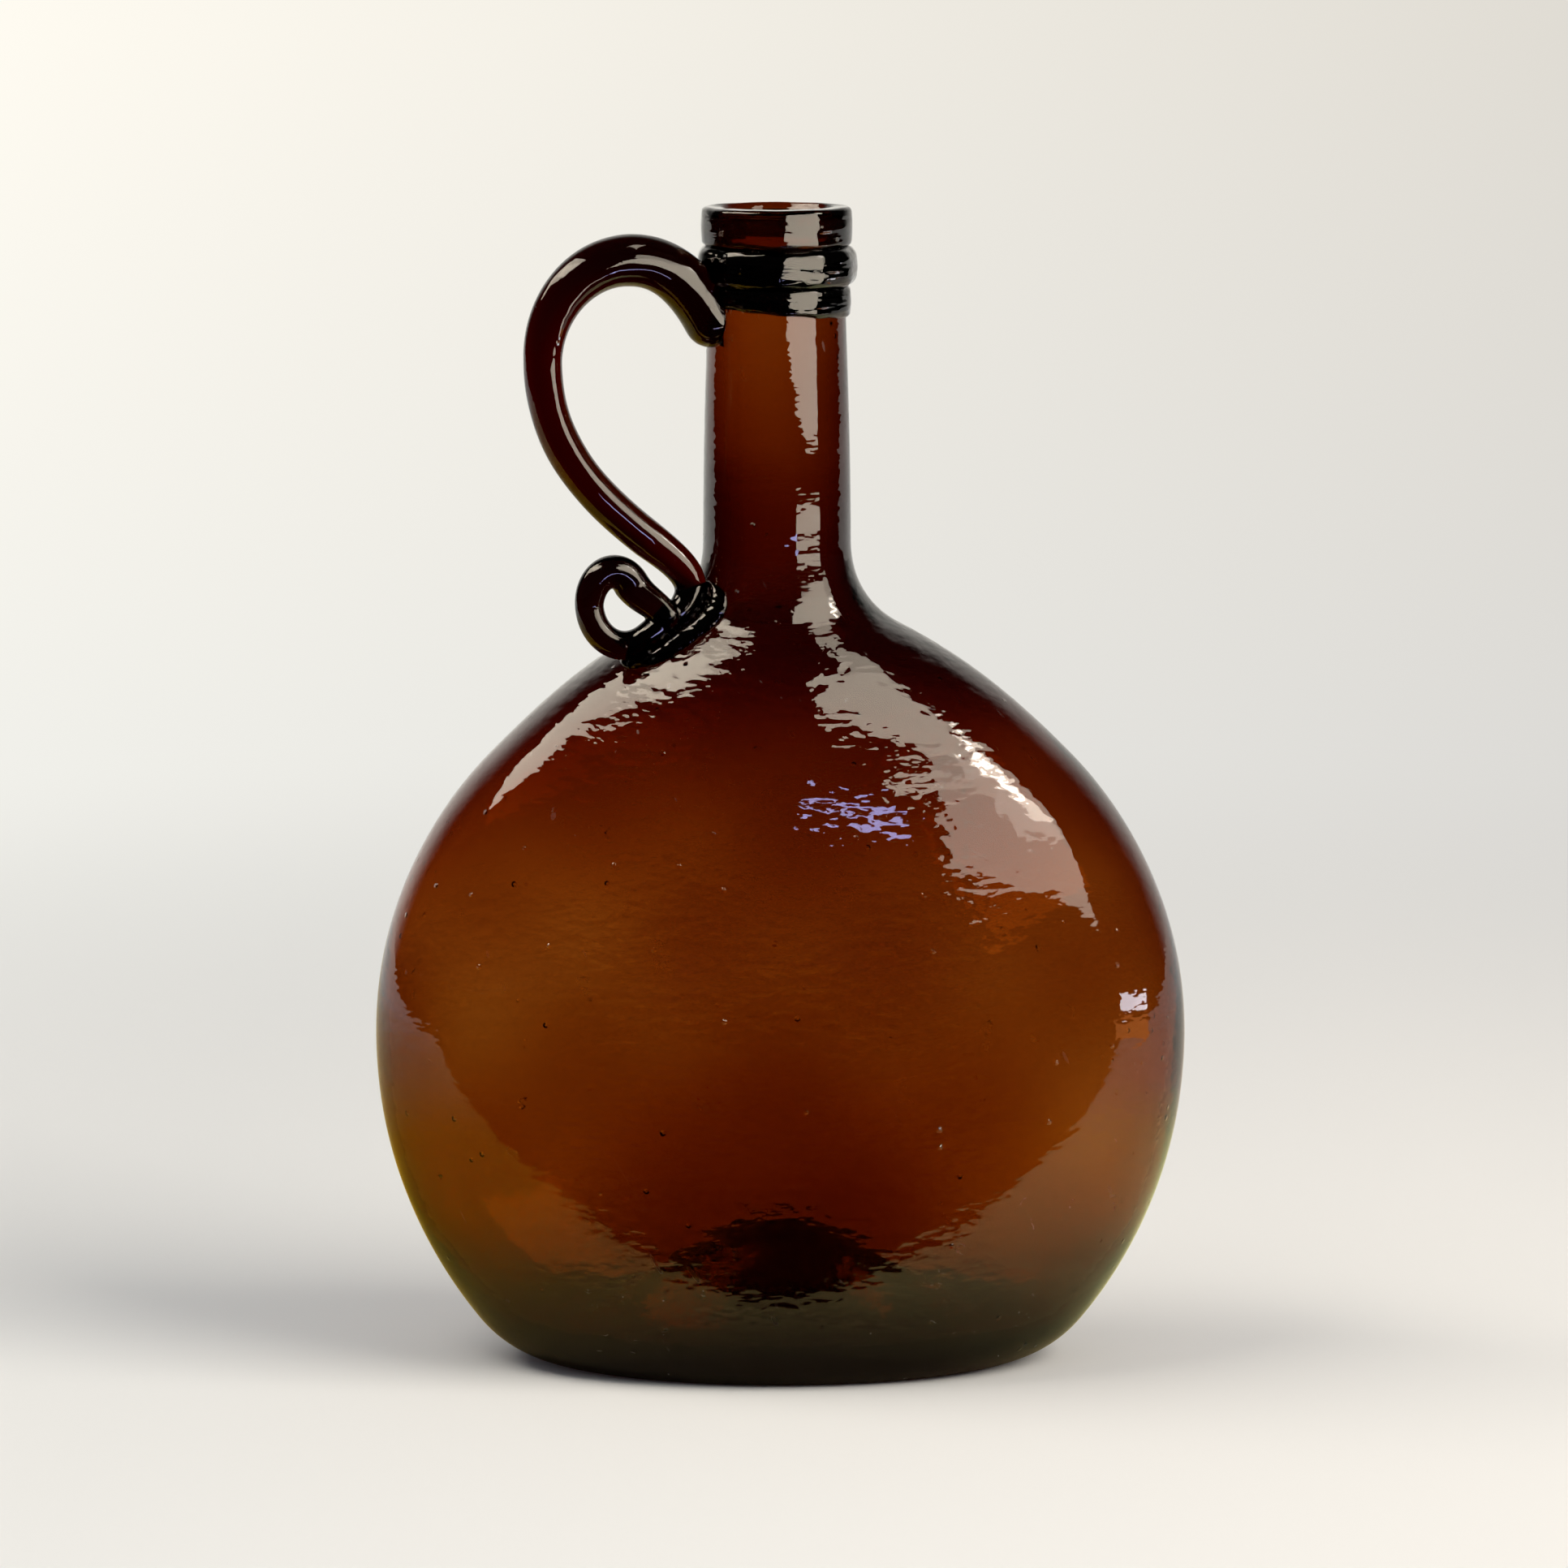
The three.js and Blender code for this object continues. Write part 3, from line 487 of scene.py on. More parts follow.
curves = [
    eased(root, (cos(ROOT_SLOPE), sin(ROOT_SLOPE)), ARCH, (1, 0)),
    arc((ARCH[0], FAR[1]), (FAR[0] - ARCH[0], ARCH[1] - FAR[1]), pi / 2, 0),
    eased(FAR, (0, -1), ELBOW, falling),
    eased(ELBOW, falling, seat[0], seat[1] - seat[0], 0.5),
    seat,
    eased(seat[-1], seat[-1] - seat[-2], (CURL_TOP + CURL_SIDE, curl_middle), (0, 1), 0.5),
    over,
    eased(over[-1], over[-1] - over[-2], tip, (-cos(TIP_SLOPE), -sin(TIP_SLOPE))),
]
curve_ends = np.concatenate([[0], np.cumsum([run_along(curve)[-1] for curve in curves])])
handle_line = joined(*curves)
print("rod length:", round(curve_ends[-1], 1), "mm")


# %% [markdown]
# ## The drawn rod
#
# A round section is carried along the path. It is thickest at the root, thins as the glass was drawn and thickens
# again in the curl. A curve object with a bevel could carry the circle too, but its ends would be flat discs, and
# here they are half balls, as glass leaves them.


# %% Carry a circle along the path
def carry_circle(line, radii, forward, around=40):
    """A tube: rings of a radius across the line's direction in the handle's plane, with half balls as ends.
    A ring's point is the middle plus the radius times (cosine of the angle times the direction square to the line
    in the plane, plus its sine times the plane's front)."""
    plane = np.array([-cos(HANDLE_TURN), -sin(HANDLE_TURN), 0])
    front = np.array([sin(HANDLE_TURN), -cos(HANDLE_TURN), 0])
    up = np.array([0, 0, 1])
    step = np.gradient(line, axis=0)
    step /= np.linalg.norm(step, axis=1)[:, None]
    quarter = np.linspace(0, pi / 2, 10)[1:-1]
    caps = len(quarter)
    line = np.concatenate([line[:1] - step[:1] * radii[0] * np.cos(quarter)[:, None], line,
                           line[-1:] + step[-1:] * radii[-1] * np.sin(quarter)[:, None]])
    radii = np.concatenate([radii[0] * np.sin(quarter), radii, radii[-1] * np.cos(quarter)])
    forward = np.concatenate([np.full(caps, forward[0]), forward, np.full(caps, forward[-1])])
    step = np.concatenate([np.repeat(step[:1], caps, 0), step, np.repeat(step[-1:], caps, 0)])
    tangent = step[:, :1] * plane + step[:, 1:] * up
    middle = line[:, :1] * plane + line[:, 1:] * up + forward[:, None] * front
    middle[:, 0] -= NECK_OFFSET
    outward = np.cross(front, tangent)
    angle = np.linspace(0, 2 * pi, around, endpoint=False)[None, :, None]
    return (middle[:, None] + radii[:, None, None]
            * (np.cos(angle) * outward[:, None] + np.sin(angle) * front))


ROD_WIDTHS = np.array([10, 9.4, 6.9, 6.9, 5.4, 5.4, 5.2, 6.6, 5.2])  # from the root to the end of each stretch
ROD_UNEVEN, ROD_WAVE = 0.015, 15                # drawn by hand: its width varies by a share, in waves
ROD_FORWARD = [0, 0, 0, 0, SEAT_FORWARD, SEAT_FORWARD, 0, 0, TIP_FORWARD]
rod_line = evenly(handle_line, 360)
at = run_along(rod_line)
rod_radii = np.interp(at, curve_ends, ROD_WIDTHS / 2)
rod_radii *= 1 + ROD_UNEVEN * slow_waves(rod_line, ROD_WAVE, seed=41)
forward = np.interp(at, curve_ends, ROD_FORWARD)
handle = add_object("handle_glass", make_mesh("handle_glass", carry_circle(rod_line, rod_radii, forward)))
print("rod from", round(2 * rod_radii.min(), 1), "to", round(2 * rod_radii.max(), 1), "mm thick")

# %% [markdown]
# ## Fuse the curl and seat the rod
#
# The path comes back onto itself at the tip, so the mesh is remade in small even cells and smoothed, which fuses
# the two runs as hot glass does. Then the flask's own form is cut from it, 0.2 mm smaller than it is, so the glass
# stays in touch and nothing pokes into the neck.


# %% Fuse and cut the rod
def applied(obj, kind, **settings):
    """Adds a modifier and keeps its result as the object's mesh."""
    modifier = obj.modifiers.new(kind, kind)
    for name, value in settings.items():
        setattr(modifier, name, value)
    mesh = bpy.data.meshes.new_from_object(obj.evaluated_get(bpy.context.evaluated_depsgraph_get()))
    obj.modifiers.clear()
    obj.data = mesh
    mesh.shade_smooth()


def cut(obj, rings):
    """Takes a closed form of rings out of a piece."""
    knife = add_object("knife", make_mesh("knife", rings))
    applied(obj, "BOOLEAN", operation="DIFFERENCE", solver="MANIFOLD", object=knife)
    bpy.data.objects.remove(knife)


CELL = 0.22                                     # fine enough for the curl, and the piece stays small enough
applied(handle, "REMESH", mode="VOXEL", voxel_size=CELL * MM)
applied(handle, "SMOOTH", factor=0.5, iterations=8)
block = joined(outer_heel, evenly(outer_wall, 120), evenly(neck_shown, 30))
cut(handle, oval_rings(block - [TOUCH, 0], outer_depth(block[:, 0]) - TOUCH, 128))
finish_piece(handle, "applied_glass", "handle")

# %% [markdown]
# ## The pressed pad
#
# Under the curl lies a leaf of glass that was pressed onto the shoulder with a ridged tool. Its grid runs from
# the neck outwards and from side to side; the thickness is rounded off at the edges and ridges run along it.


# %% Build the pad
def bulge(position, power, edge=0.12):
    """A share that is full in the middle of a strip and falls to a thin edge at -1 and 1: the square root of one
    less the position to a power."""
    return np.maximum(edge, np.sqrt(np.clip(1 - np.abs(position) ** power, 0, 1)))


PAD_TOP, PAD_REACH = 143.5, 33.5                # the height at which the pad starts, the half width at which it ends
PAD_WIDTHS = 14, 11                             # near the neck and at the far end
PAD_LIFT, PAD_THICKNESS, PAD_RIDGE = 0.3, 1.3, 0.35
ROWS = 90
out = np.linspace(0, 1, ROWS)
side = np.linspace(-1, 1, 60)
first_width = float(np.interp(PAD_TOP, outer_wall[:, 1], outer_wall[:, 0]))
pad_run = upper_wall[(upper_wall[:, 0] > first_width) & (upper_wall[:, 0] < PAD_REACH)]
grid_width = evenly(pad_run, ROWS)[:, :1] + 0 * side
end_shape = bulge(2 * out - 1, 4)
half = (PAD_WIDTHS[0] + (PAD_WIDTHS[1] - PAD_WIDTHS[0]) * out) * end_shape / 2
grid_side = SEAT_FORWARD + half[:, None] * side
ridges = PAD_RIDGE * np.cos(side * pi * 3)
thickness = (PAD_THICKNESS + ridges) * bulge(side, 4) * end_shape[:, None]
pad_top = on_shoulder(grid_width, grid_side, PAD_LIFT + thickness)
pad_bottom = on_shoulder(grid_width, grid_side, np.full(grid_side.shape, -TOUCH))
pad = add_object("handle_pad_glass", make_mesh(
    "handle_pad_glass", np.concatenate([pad_bottom, pad_top[:, ::-1]], axis=1)))
finish_piece(pad, "applied_glass", "handle_pad")

# %% [markdown]
# ## The pontil scar
#
# While the mouth was finished, an iron rod held the flask by its base. Broken off, it left a rough ring inside
# the push-up. Short waves make the ring jagged.

# %% Build the scar
SCAR_WIDTH, SCAR_THREAD = 17, 2.6               # across the ring and across its thread of glass
SCAR_EDGE, SCAR_DROP, SCAR_SUNK = 0.3, 1.1, 0.1 # down at its edges, down more in its middle, and up into the dome
JAG, JAG_LENGTH = 0.25, 2.2
SCAR_ROWS = 13
scar_side = np.linspace(-1, 1, SCAR_ROWS)
scar_radius = (SCAR_WIDTH - SCAR_THREAD) / 2 + scar_side * SCAR_THREAD / 2
dome = np.interp(scar_radius, under[:, 0], under[:, 1])
lower = dome - SCAR_EDGE - SCAR_DROP * bulge(scar_side, 2)
section = np.concatenate([np.stack([scar_radius, lower], 1), np.stack([scar_radius, dome + SCAR_SUNK], 1)[::-1]])
scar_rings = oval_rings(section, section[:, 0] * under_share, 160)
jagged = JAG * slow_waves(scar_rings, JAG_LENGTH, seed=51)
scar_rings[:SCAR_ROWS, :, 2] += np.clip(jagged[:SCAR_ROWS], -0.2, 0.3)
scar = add_object("pontil_scar_glass", make_mesh("pontil_scar_glass", scar_rings, ends_join=True))
finish_piece(scar, "body_glass", "pontil_scar")

# %% [markdown]
# ## Colours and nodes
#
# Materials are built in the script from nodes. One function turns the hex colours of a paint program into the
# linear values that light is added up in, and one adds a node of any kind with everything that belongs to it.


# %% Colour and node helpers
def linear(hex_colour):
    """An sRGB hex colour as linear red, green, blue and 1: the sRGB curve undone."""
    value = np.array([int(hex_colour[i:i + 2], 16) for i in (1, 3, 5)]) / 255
    return (*np.where(value <= 0.04045, value / 12.92, ((value + 0.055) / 1.055) ** 2.4), 1)


def add_node(tree, kind, settings=None):
    """Adds a node. Each setting is an input in use, by name or number, or else a property of the node. A value
    that is another node's output becomes a link, and a whole node stands for its first output in use."""
    node = tree.nodes.new("ShaderNode" + kind)
    for name, value in (settings or {}).items():
        if isinstance(value, bpy.types.Node):
            value = next(output for output in value.outputs if output.enabled)
        inputs = [s for i, s in enumerate(node.inputs) if s.enabled and name in (i, s.name)]
        if not inputs:
            setattr(node, name, value)
        elif isinstance(value, bpy.types.NodeSocket):
            tree.links.new(value, inputs[0])
        else:
            inputs[0].default_value = value
    return node


def new_material(name):
    """A material with no nodes yet."""
    material = bpy.data.materials.new(name)
    material.use_nodes = True
    material.node_tree.nodes.clear()
    return material


print("amber in linear light:", np.round(linear("#E1BB38")[:3], 3).tolist())

# %% [markdown]
# ## The skin of old glass
#
# The skin of blown glass is never a perfect mirror, and the eye takes that for age and handwork. Waves of 11 mm
# bend the reflections. Orange peel of 2 mm frays their edges on the middle of the belly, and fades on the flanks,
# where the skin was stretched smooth. Tool marks run round the neck and the rings, and small blisters are scattered
# over it all. Each is a height that bends the light, and each lies on the one before. Real dents this small would
# need millions of faces, so they come from the material.

# %% Skin of the glass: counts in a metre, heights and places in metres
WAVES, PEEL, TOOL_MARKS = 90, 540, 420          # 11 mm, 1.9 mm and 2.4 mm from one to the next
BLISTERS, BLISTER_RISE = 130, 0.00025           # a grid of 8 mm, of which few reach the skin
SWELL, TURNED = 0.00011, 0.00007                # heights of the waves and the tool marks
WIDE_PEEL = (0.5, 0.5, 1)                       # twice as wide as it is high
LONG_MARKS = (0.12, 0.12, 1)                    # eight times as long round the flask as they are high
FLANKS, NECK_STARTS = (0.03, 0.046), (0.135, 0.15)  # how far out and how high the orange peel fades
MARKS_START = 0.15, 0.175                       # how high the tool marks set in


def glass_skin(tree, place, axes, pebble, swell, turned):
    """The direction of the skin after four bumps: waves, orange peel, tool marks and blisters. Pebble, swell and
    turned are the heights of the peel, the waves and the tool marks in metres."""
    waves = add_node(tree, "TexNoise", {"Vector": place, "Scale": WAVES, "Detail": 1})
    skin = add_node(tree, "Bump", {"Height": waves, "Strength": 1, "Distance": swell})

    from_middle = add_node(tree, "Math", {"operation": "ABSOLUTE", 0: axes["X"]})
    on_belly = add_node(tree, "MapRange", {"Value": from_middle, "From Min": FLANKS[0], "From Max": FLANKS[1],
                                           "To Min": pebble, "To Max": 0.25 * pebble})
    below_neck = add_node(tree, "MapRange", {"Value": axes["Z"], "From Min": NECK_STARTS[0],
                                             "From Max": NECK_STARTS[1], "To Min": 1, "To Max": 0.35})
    wide = add_node(tree, "Mapping", {"Vector": place, "Scale": WIDE_PEEL})
    peel = add_node(tree, "TexNoise", {"Vector": wide, "Scale": PEEL, "Detail": 1.5})
    peel = add_node(tree, "Math", {"operation": "MULTIPLY", 0: peel, 1: on_belly})
    peel = add_node(tree, "Math", {"operation": "MULTIPLY", 0: peel, 1: below_neck})
    skin = add_node(tree, "Bump", {"Height": peel, "Strength": 1, "Distance": 1, "Normal": skin})

    long = add_node(tree, "Mapping", {"Vector": place, "Scale": LONG_MARKS})
    marks = add_node(tree, "TexNoise", {"Vector": long, "Scale": TOOL_MARKS, "Detail": 2})
    on_neck = add_node(tree, "MapRange", {"Value": axes["Z"], "From Min": MARKS_START[0],
                                          "From Max": MARKS_START[1], "To Min": 0, "To Max": turned})
    marks = add_node(tree, "Math", {"operation": "MULTIPLY", 0: marks, 1: on_neck})
    skin = add_node(tree, "Bump", {"Height": marks, "Strength": 1, "Distance": 1, "Normal": skin})

    bubbles = add_node(tree, "TexVoronoi", {"Vector": place, "Scale": BLISTERS})
    blisters = add_node(tree, "MapRange", {"Value": bubbles, "From Min": 0.03, "From Max": 0.07,
                                           "To Min": 1, "To Max": 0})
    return add_node(tree, "Bump", {"Height": blisters, "Strength": 1, "Distance": BLISTER_RISE, "Normal": skin})


print("waves every", round(1 / WAVES / MM, 1), "mm, peel every", round(1 / PEEL / MM, 1), "mm")

# %% [markdown]
# ## Scratches, stones, painted shade and the dark curl
#
# Fine scratches from a long life on shelves are rough, so they scatter light where the glass around them mirrors
# it. Stones are crumbs of the furnace that did not melt, seen as dark specks. The heel is darkened all round towards
# the base as painted shade where the flask meets the floor, and the folded curl lets hardly any light through.

# %% Wear, flaws and painted shade: counts in a metre
SCRATCHES, STONES = 700, 42                     # a grid of 1.4 mm and of 24 mm
LONG_SCRATCHES, SCRATCH_TILT = (1, 1, 0.03), (0, 0.5, 0)   # thirty times as long as wide, tilted by 29 degrees
POLISHED, SCRATCHED = 0.012, 0.3                # roughness
EVEN = ((0, 0, 1), 0, 0.001, 1)                 # nowhere darkened


def scratched(tree, place):
    """Roughness: polished, but rough where a noise drawn out into lines is at its highest."""
    tilted = add_node(tree, "Mapping", {"Vector": place, "Rotation": SCRATCH_TILT})
    long = add_node(tree, "Mapping", {"Vector": tilted, "Scale": LONG_SCRATCHES})
    lines = add_node(tree, "TexNoise", {"Vector": long, "Scale": SCRATCHES, "Detail": 0})
    return add_node(tree, "MapRange", {"Value": lines, "From Min": 0.83, "From Max": 0.86,
                                       "To Min": POLISHED, "To Max": SCRATCHED})


def let_through(tree, place, shade_and_fold):
    """The share of light that the skin lets through: none at a stone, less in the dark folded curl and less at the
    heel, where it is painted shade. The darkening gives a direction, two places along it and a share, which grows to
    all from the one place to the other."""
    towards, start, end, share = shade_and_fold
    crumbs = add_node(tree, "TexVoronoi", {"Vector": place, "Scale": STONES})
    free_of_stones = add_node(tree, "MapRange", {"Value": crumbs, "From Min": 0.012, "From Max": 0.03})
    reach = add_node(tree, "VectorMath", {"operation": "DOT_PRODUCT", 0: place, 1: towards})
    bright = add_node(tree, "MapRange", {"Value": reach, "From Min": start, "From Max": end,
                                         "To Min": share, "To Max": 1})
    return add_node(tree, "Math", {"operation": "MULTIPLY", 0: free_of_stones, 1: bright})


print("scratches every", round(1 / SCRATCHES / MM, 1), "mm across, stones every", round(1 / STONES / MM), "mm")

# %% [markdown]
# ## Amber glass
#
# This is plain bottle glass, coloured brown by iron and sulphur and shaped by breath and tools. Clear glass of
# index 1.5 gets its colour from its depth: light loses blue at once, green next and red last, which is a volume
# that absorbs. The thin belly glows orange-brown and the thick collar turns nearly black. A painted surface would
# be one brown all over.


# %% Amber glass
def amber_glass(name, colour, density, pebble, swell=SWELL, turned=TURNED, shade_and_fold=EVEN):
    """Glass with an uneven skin, coloured through its depth: the density is how much it absorbs in a metre."""
    material = new_material(name)
    tree = material.node_tree
    place = add_node(tree, "TexCoord").outputs["Object"]
    axes = add_node(tree, "SeparateXYZ", {"Vector": place}).outputs
    # The base colour darkens what passes at stones, in the curl and, on the body, as painted shade at the heel.
    surface = add_node(tree, "BsdfPrincipled", {
        "IOR": 1.5, "Transmission Weight": 1, "Base Color": let_through(tree, place, shade_and_fold),
        "Roughness": scratched(tree, place), "Normal": glass_skin(tree, place, axes, pebble, swell, turned)})
    depth = add_node(tree, "VolumeAbsorption", {"Color": linear(colour), "Density": density})
    add_node(tree, "OutputMaterial", {"Surface": surface, "Volume": depth})
    return material


AMBER, DRAWN_AMBER = "#E1BB38", "#E1A634"
HEEL_SHADE = ((0, 0, 1), 0.004, 0.031, 0.68)          # painted shade: darker from 31 mm down to the base
CURL = ((0.733, 0.267, 1), 0.129, 0.131, 0.12)  # nearly black below a slanting line under the arm
blown_glass = amber_glass("blown_amber_glass", AMBER, 1250, pebble=0.0002, shade_and_fold=HEEL_SHADE)
drawn_glass = amber_glass("drawn_amber_glass", DRAWN_AMBER, 2300, pebble=0.00002, shade_and_fold=CURL)
band_glass = amber_glass("band_amber_glass", AMBER, 2600, pebble=0.0004, swell=0.0004, turned=0.0004)
wound_glass = amber_glass("wound_amber_glass", AMBER, 18000, pebble=0.0009, swell=0.0006, turned=0.0008)
print("nodes in each glass:", len(blown_glass.node_tree.nodes))

# %% [markdown]
# ## A glass for each piece
#
# All of it came from one pot, but each way of working leaves its own skin: the drawn rod is the smoothest, the
# tooled band is wavy, and the wound rings and the pressed pad are the roughest. The densities are matched to the
# photograph, where the folded collar and pad are nearly black, darker than their thickness alone would make them.

# %% Glaze the pieces
for piece, material in ((body, blown_glass), (scar, blown_glass), (band, band_glass), (collar, wound_glass),
                        (trail, wound_glass), (handle, drawn_glass), (pad, wound_glass)):
    piece.data.materials.clear()
    piece.data.materials.append(material)
    print(piece.name, "is", material.name)

# %% [markdown]
# ## The backdrop
#
# The flask stands on matt pale paper that runs up behind it without an edge. Far from the flask, the paper and
# the world show one and the same colour for a direction, at a strength of 1, so no horizon can be seen. That colour
# is painted light: warm and bright high on the left, cooler and darker on the right.


# %% Colours of the backdrop
def screen(tree, place):
    """The backdrop's colour for a direction: four corner colours, mixed by how far right and how far up it points."""
    aim = add_node(tree, "VectorMath", {"operation": "NORMALIZE", "Vector": place})
    axes = add_node(tree, "SeparateXYZ", {"Vector": aim}).outputs
    right = add_node(tree, "MapRange", {"Value": axes["X"], "From Min": -0.11, "From Max": 0.13})
    up = add_node(tree, "MapRange", {"Value": axes["Z"], "From Min": -0.14, "From Max": -0.04})
    rows = [add_node(tree, "Mix", {"data_type": "RGBA", "Factor": right, "A": linear(left_end),
                                   "B": linear(right_end)}) for left_end, right_end in (FAR_LOW, FAR_HIGH)]
    return add_node(tree, "Mix", {"data_type": "RGBA", "Factor": up, "A": rows[0], "B": rows[1]})


# Painted light: the corner colours make the backdrop brighter high on the left and darker on the right.
FAR_LOW, FAR_HIGH = ("#F1F0EA", "#DBD9D5"), ("#FFFBF1", "#DDD9D1")  # at the left and right end of each row
STANDPOINT = (0, -1.25, 0.29)                   # the paper's directions are measured from here, in front of the flask
print("backdrop low:", FAR_LOW, "high:", FAR_HIGH)

# %% [markdown]
# ## The paper near the flask
#
# Around the flask the paper is a plain matt surface that the lamps light and the flask shades, and painted light
# is in its colour too: darker on the left, brighter on the right. What the glass mirrors of it is another matter.
# Real amber glass throws light of its own colour on the paper, and that light isn't traced here, so mirror rays see
# the paper with painted light: yellow on the left, pale on the right and greyer further out, and a painted shadow,
# brown, close to the foot. All of it is painted on the paper, so it stays in place in every view.

# %% Paper near the flask
PAINTED_LIGHT_ACROSS, MIRRORED_ACROSS = (-0.12, 0.14), (-0.1, 0.1)   # metres from left to right between two colours
FOOT_SHADE, GREYER = (0.034, 0.062), (0.15, 0.24)           # metres from the middle over which each sets in or ends
ROUND_FOOT = (0.85, 1, 0)                                   # distances sideways count a little less
paper = new_material("matt_pale_paper")
tree = paper.node_tree
ray = add_node(tree, "LightPath").outputs
spot = add_node(tree, "TexCoord").outputs["Object"]
sideways = add_node(tree, "SeparateXYZ", {"Vector": spot}).outputs["X"]
# Painted light: the paper that the eye sees is painted darker on the left and brighter on the right.
painted_light_share = add_node(tree, "MapRange", {"Value": sideways, "From Min": PAINTED_LIGHT_ACROSS[0],
                                         "From Max": PAINTED_LIGHT_ACROSS[1]})
paper_with_painted_light = add_node(tree, "Mix", {"data_type": "RGBA", "Factor": painted_light_share,
                              "A": linear("#E4EAF1"), "B": linear("#F2F6FB")})
right = add_node(tree, "MapRange", {"Value": sideways, "From Min": MIRRORED_ACROSS[0],
                                    "From Max": MIRRORED_ACROSS[1]})
# Painted light in the mirrors: amber light, yellow on the left and pale on the right, greyer further out.
painted_amber_light = add_node(tree, "Mix", {"data_type": "RGBA", "Factor": right, "A": linear("#C6A530"), "B": linear("#FAFFC6")})
outer = add_node(tree, "Mix", {"data_type": "RGBA", "Factor": right, "A": linear("#C2B27E"), "B": linear("#E8E0D6")})
oval = add_node(tree, "Mapping", {"Vector": spot, "Scale": ROUND_FOOT})
from_foot = add_node(tree, "VectorMath", {"operation": "LENGTH", "Vector": oval})
outwards = add_node(tree, "MapRange", {"Value": from_foot, "From Min": GREYER[0], "From Max": GREYER[1]})
# Painted shadow: close to the foot, mirror rays see the paper brown.
off_painted_shadow = add_node(tree, "MapRange", {"Value": from_foot, "From Min": FOOT_SHADE[0], "From Max": FOOT_SHADE[1]})
painted_in_mirrors = add_node(tree, "Mix", {"data_type": "RGBA", "Factor": outwards, "A": painted_amber_light, "B": outer})
painted_in_mirrors = add_node(tree, "Mix", {"data_type": "RGBA", "Factor": off_painted_shadow, "A": linear("#83725F"), "B": painted_in_mirrors})
colour = add_node(tree, "Mix", {"data_type": "RGBA", "Factor": ray["Is Glossy Ray"], "A": paper_with_painted_light, "B": painted_in_mirrors})
near_paper = add_node(tree, "BsdfDiffuse", {"Color": colour})
print("colours near the flask:", len(tree.nodes), "nodes")

# %% [markdown]
# ## From paper to backdrop
#
# Further off the paper turns into the backdrop for everything that looks at it, while the light that it throws
# back on the flask stays that of lit paper. The sheet is far larger than the view, so no edge shows from any side.

# %% Paper floor
BACKDROP_FROM, BACKDROP_FULL = 0.2, 0.8         # metres from the flask over which the paper becomes the backdrop
PAPER_REACH = 30
bearing = add_node(tree, "VectorMath", {"operation": "SUBTRACT", 0: spot, 1: STANDPOINT})
far_paper = add_node(tree, "Emission", {"Color": screen(tree, bearing), "Strength": 1})
distance = add_node(tree, "VectorMath", {"operation": "LENGTH", "Vector": spot})
far = add_node(tree, "MapRange", {"interpolation_type": "SMOOTHSTEP", "Value": distance,
                                  "From Min": BACKDROP_FROM, "From Max": BACKDROP_FULL})
looked_at = add_node(tree, "Math", {"operation": "MAXIMUM", 0: ray["Is Camera Ray"], 1: ray["Is Glossy Ray"]})
looked_at = add_node(tree, "Math", {"operation": "MAXIMUM", 0: looked_at, 1: ray["Is Transmission Ray"]})
fade = add_node(tree, "Math", {"operation": "MULTIPLY", 0: far, 1: looked_at})
both = add_node(tree, "MixShader", {"Fac": fade, 1: near_paper, 2: far_paper})
add_node(tree, "OutputMaterial", {"Surface": both})


def flat_shape(name, corners, material):
    """A flat shape of the studio, with its corners in metres. It isn't part of the flask."""
    mesh = bpy.data.meshes.new(name)
    mesh.from_pydata(corners, [], [list(range(len(corners)))])
    mesh.materials.append(material)
    obj = add_object(name, mesh)
    return obj


flat_shape("paper_floor", [(-PAPER_REACH, -PAPER_REACH, 0), (PAPER_REACH, -PAPER_REACH, 0),
                           (PAPER_REACH, PAPER_REACH, 0), (-PAPER_REACH, PAPER_REACH, 0)], paper)
print("paper:", len(tree.nodes), "nodes,", 2 * PAPER_REACH, "m across")

# %% [markdown]
# ## The dark side of the room
#
# The side of the room behind the camera is dark, which is what lets the amber glow: a bright room in front would
# lie on the glass as a grey veil. Black velvet lies over the paper in front for the mirror rays, and its curved
# edge is the edge of the pale veil on the lower belly.


# %% Velvet over the paper in front
def edge_of_dark(x):
    """How far in front the dark starts: nearest at the middle, then it bows away as x squared over its sum with a
    small square, and a little more in a straight line."""
    return -0.054 - 0.034 * x ** 2 / (x ** 2 + 0.06 ** 2) - 0.04 * np.minimum(np.abs(x), 1)


def for_reflections(obj):
    """Shows an object of the studio to mirror rays alone."""
    for kind in ("camera", "diffuse", "transmission", "volume_scatter", "shadow"):
        setattr(obj, "visible_" + kind, False)


velvet = new_material("black_velvet")
velvet_pile = add_node(velvet.node_tree, "BsdfDiffuse", {"Color": linear("#0A0908")})
add_node(velvet.node_tree, "OutputMaterial", {"Surface": velvet_pile})
JUST_ABOVE, DARK_REACH, DARK_BACK = 0.0002, 29, 22
x = np.linspace(-0.5, 0.5, 101)
edge = np.stack([x, edge_of_dark(x), 0 * x + JUST_ABOVE], 1)
corners = np.concatenate([[(-DARK_REACH, DARK_BACK, JUST_ABOVE)], edge, [(DARK_REACH, DARK_BACK, JUST_ABOVE)],
                          [(DARK_REACH, -DARK_REACH, JUST_ABOVE), (-DARK_REACH, -DARK_REACH, JUST_ABOVE)]])
for_reflections(flat_shape("dark_floor_in_front", corners.tolist(), velvet))
print("the dark starts", round(-1000 * edge_of_dark(0)), "mm in front of the flask's middle")

# %% [markdown]
# ## The world
#
# The world is the rest of the room. To the eye and through the glass it is the backdrop; for mirror rays it is the
# backdrop behind the flask and gloom elsewhere; and as light on the paper it is a dim, slightly cool fill.

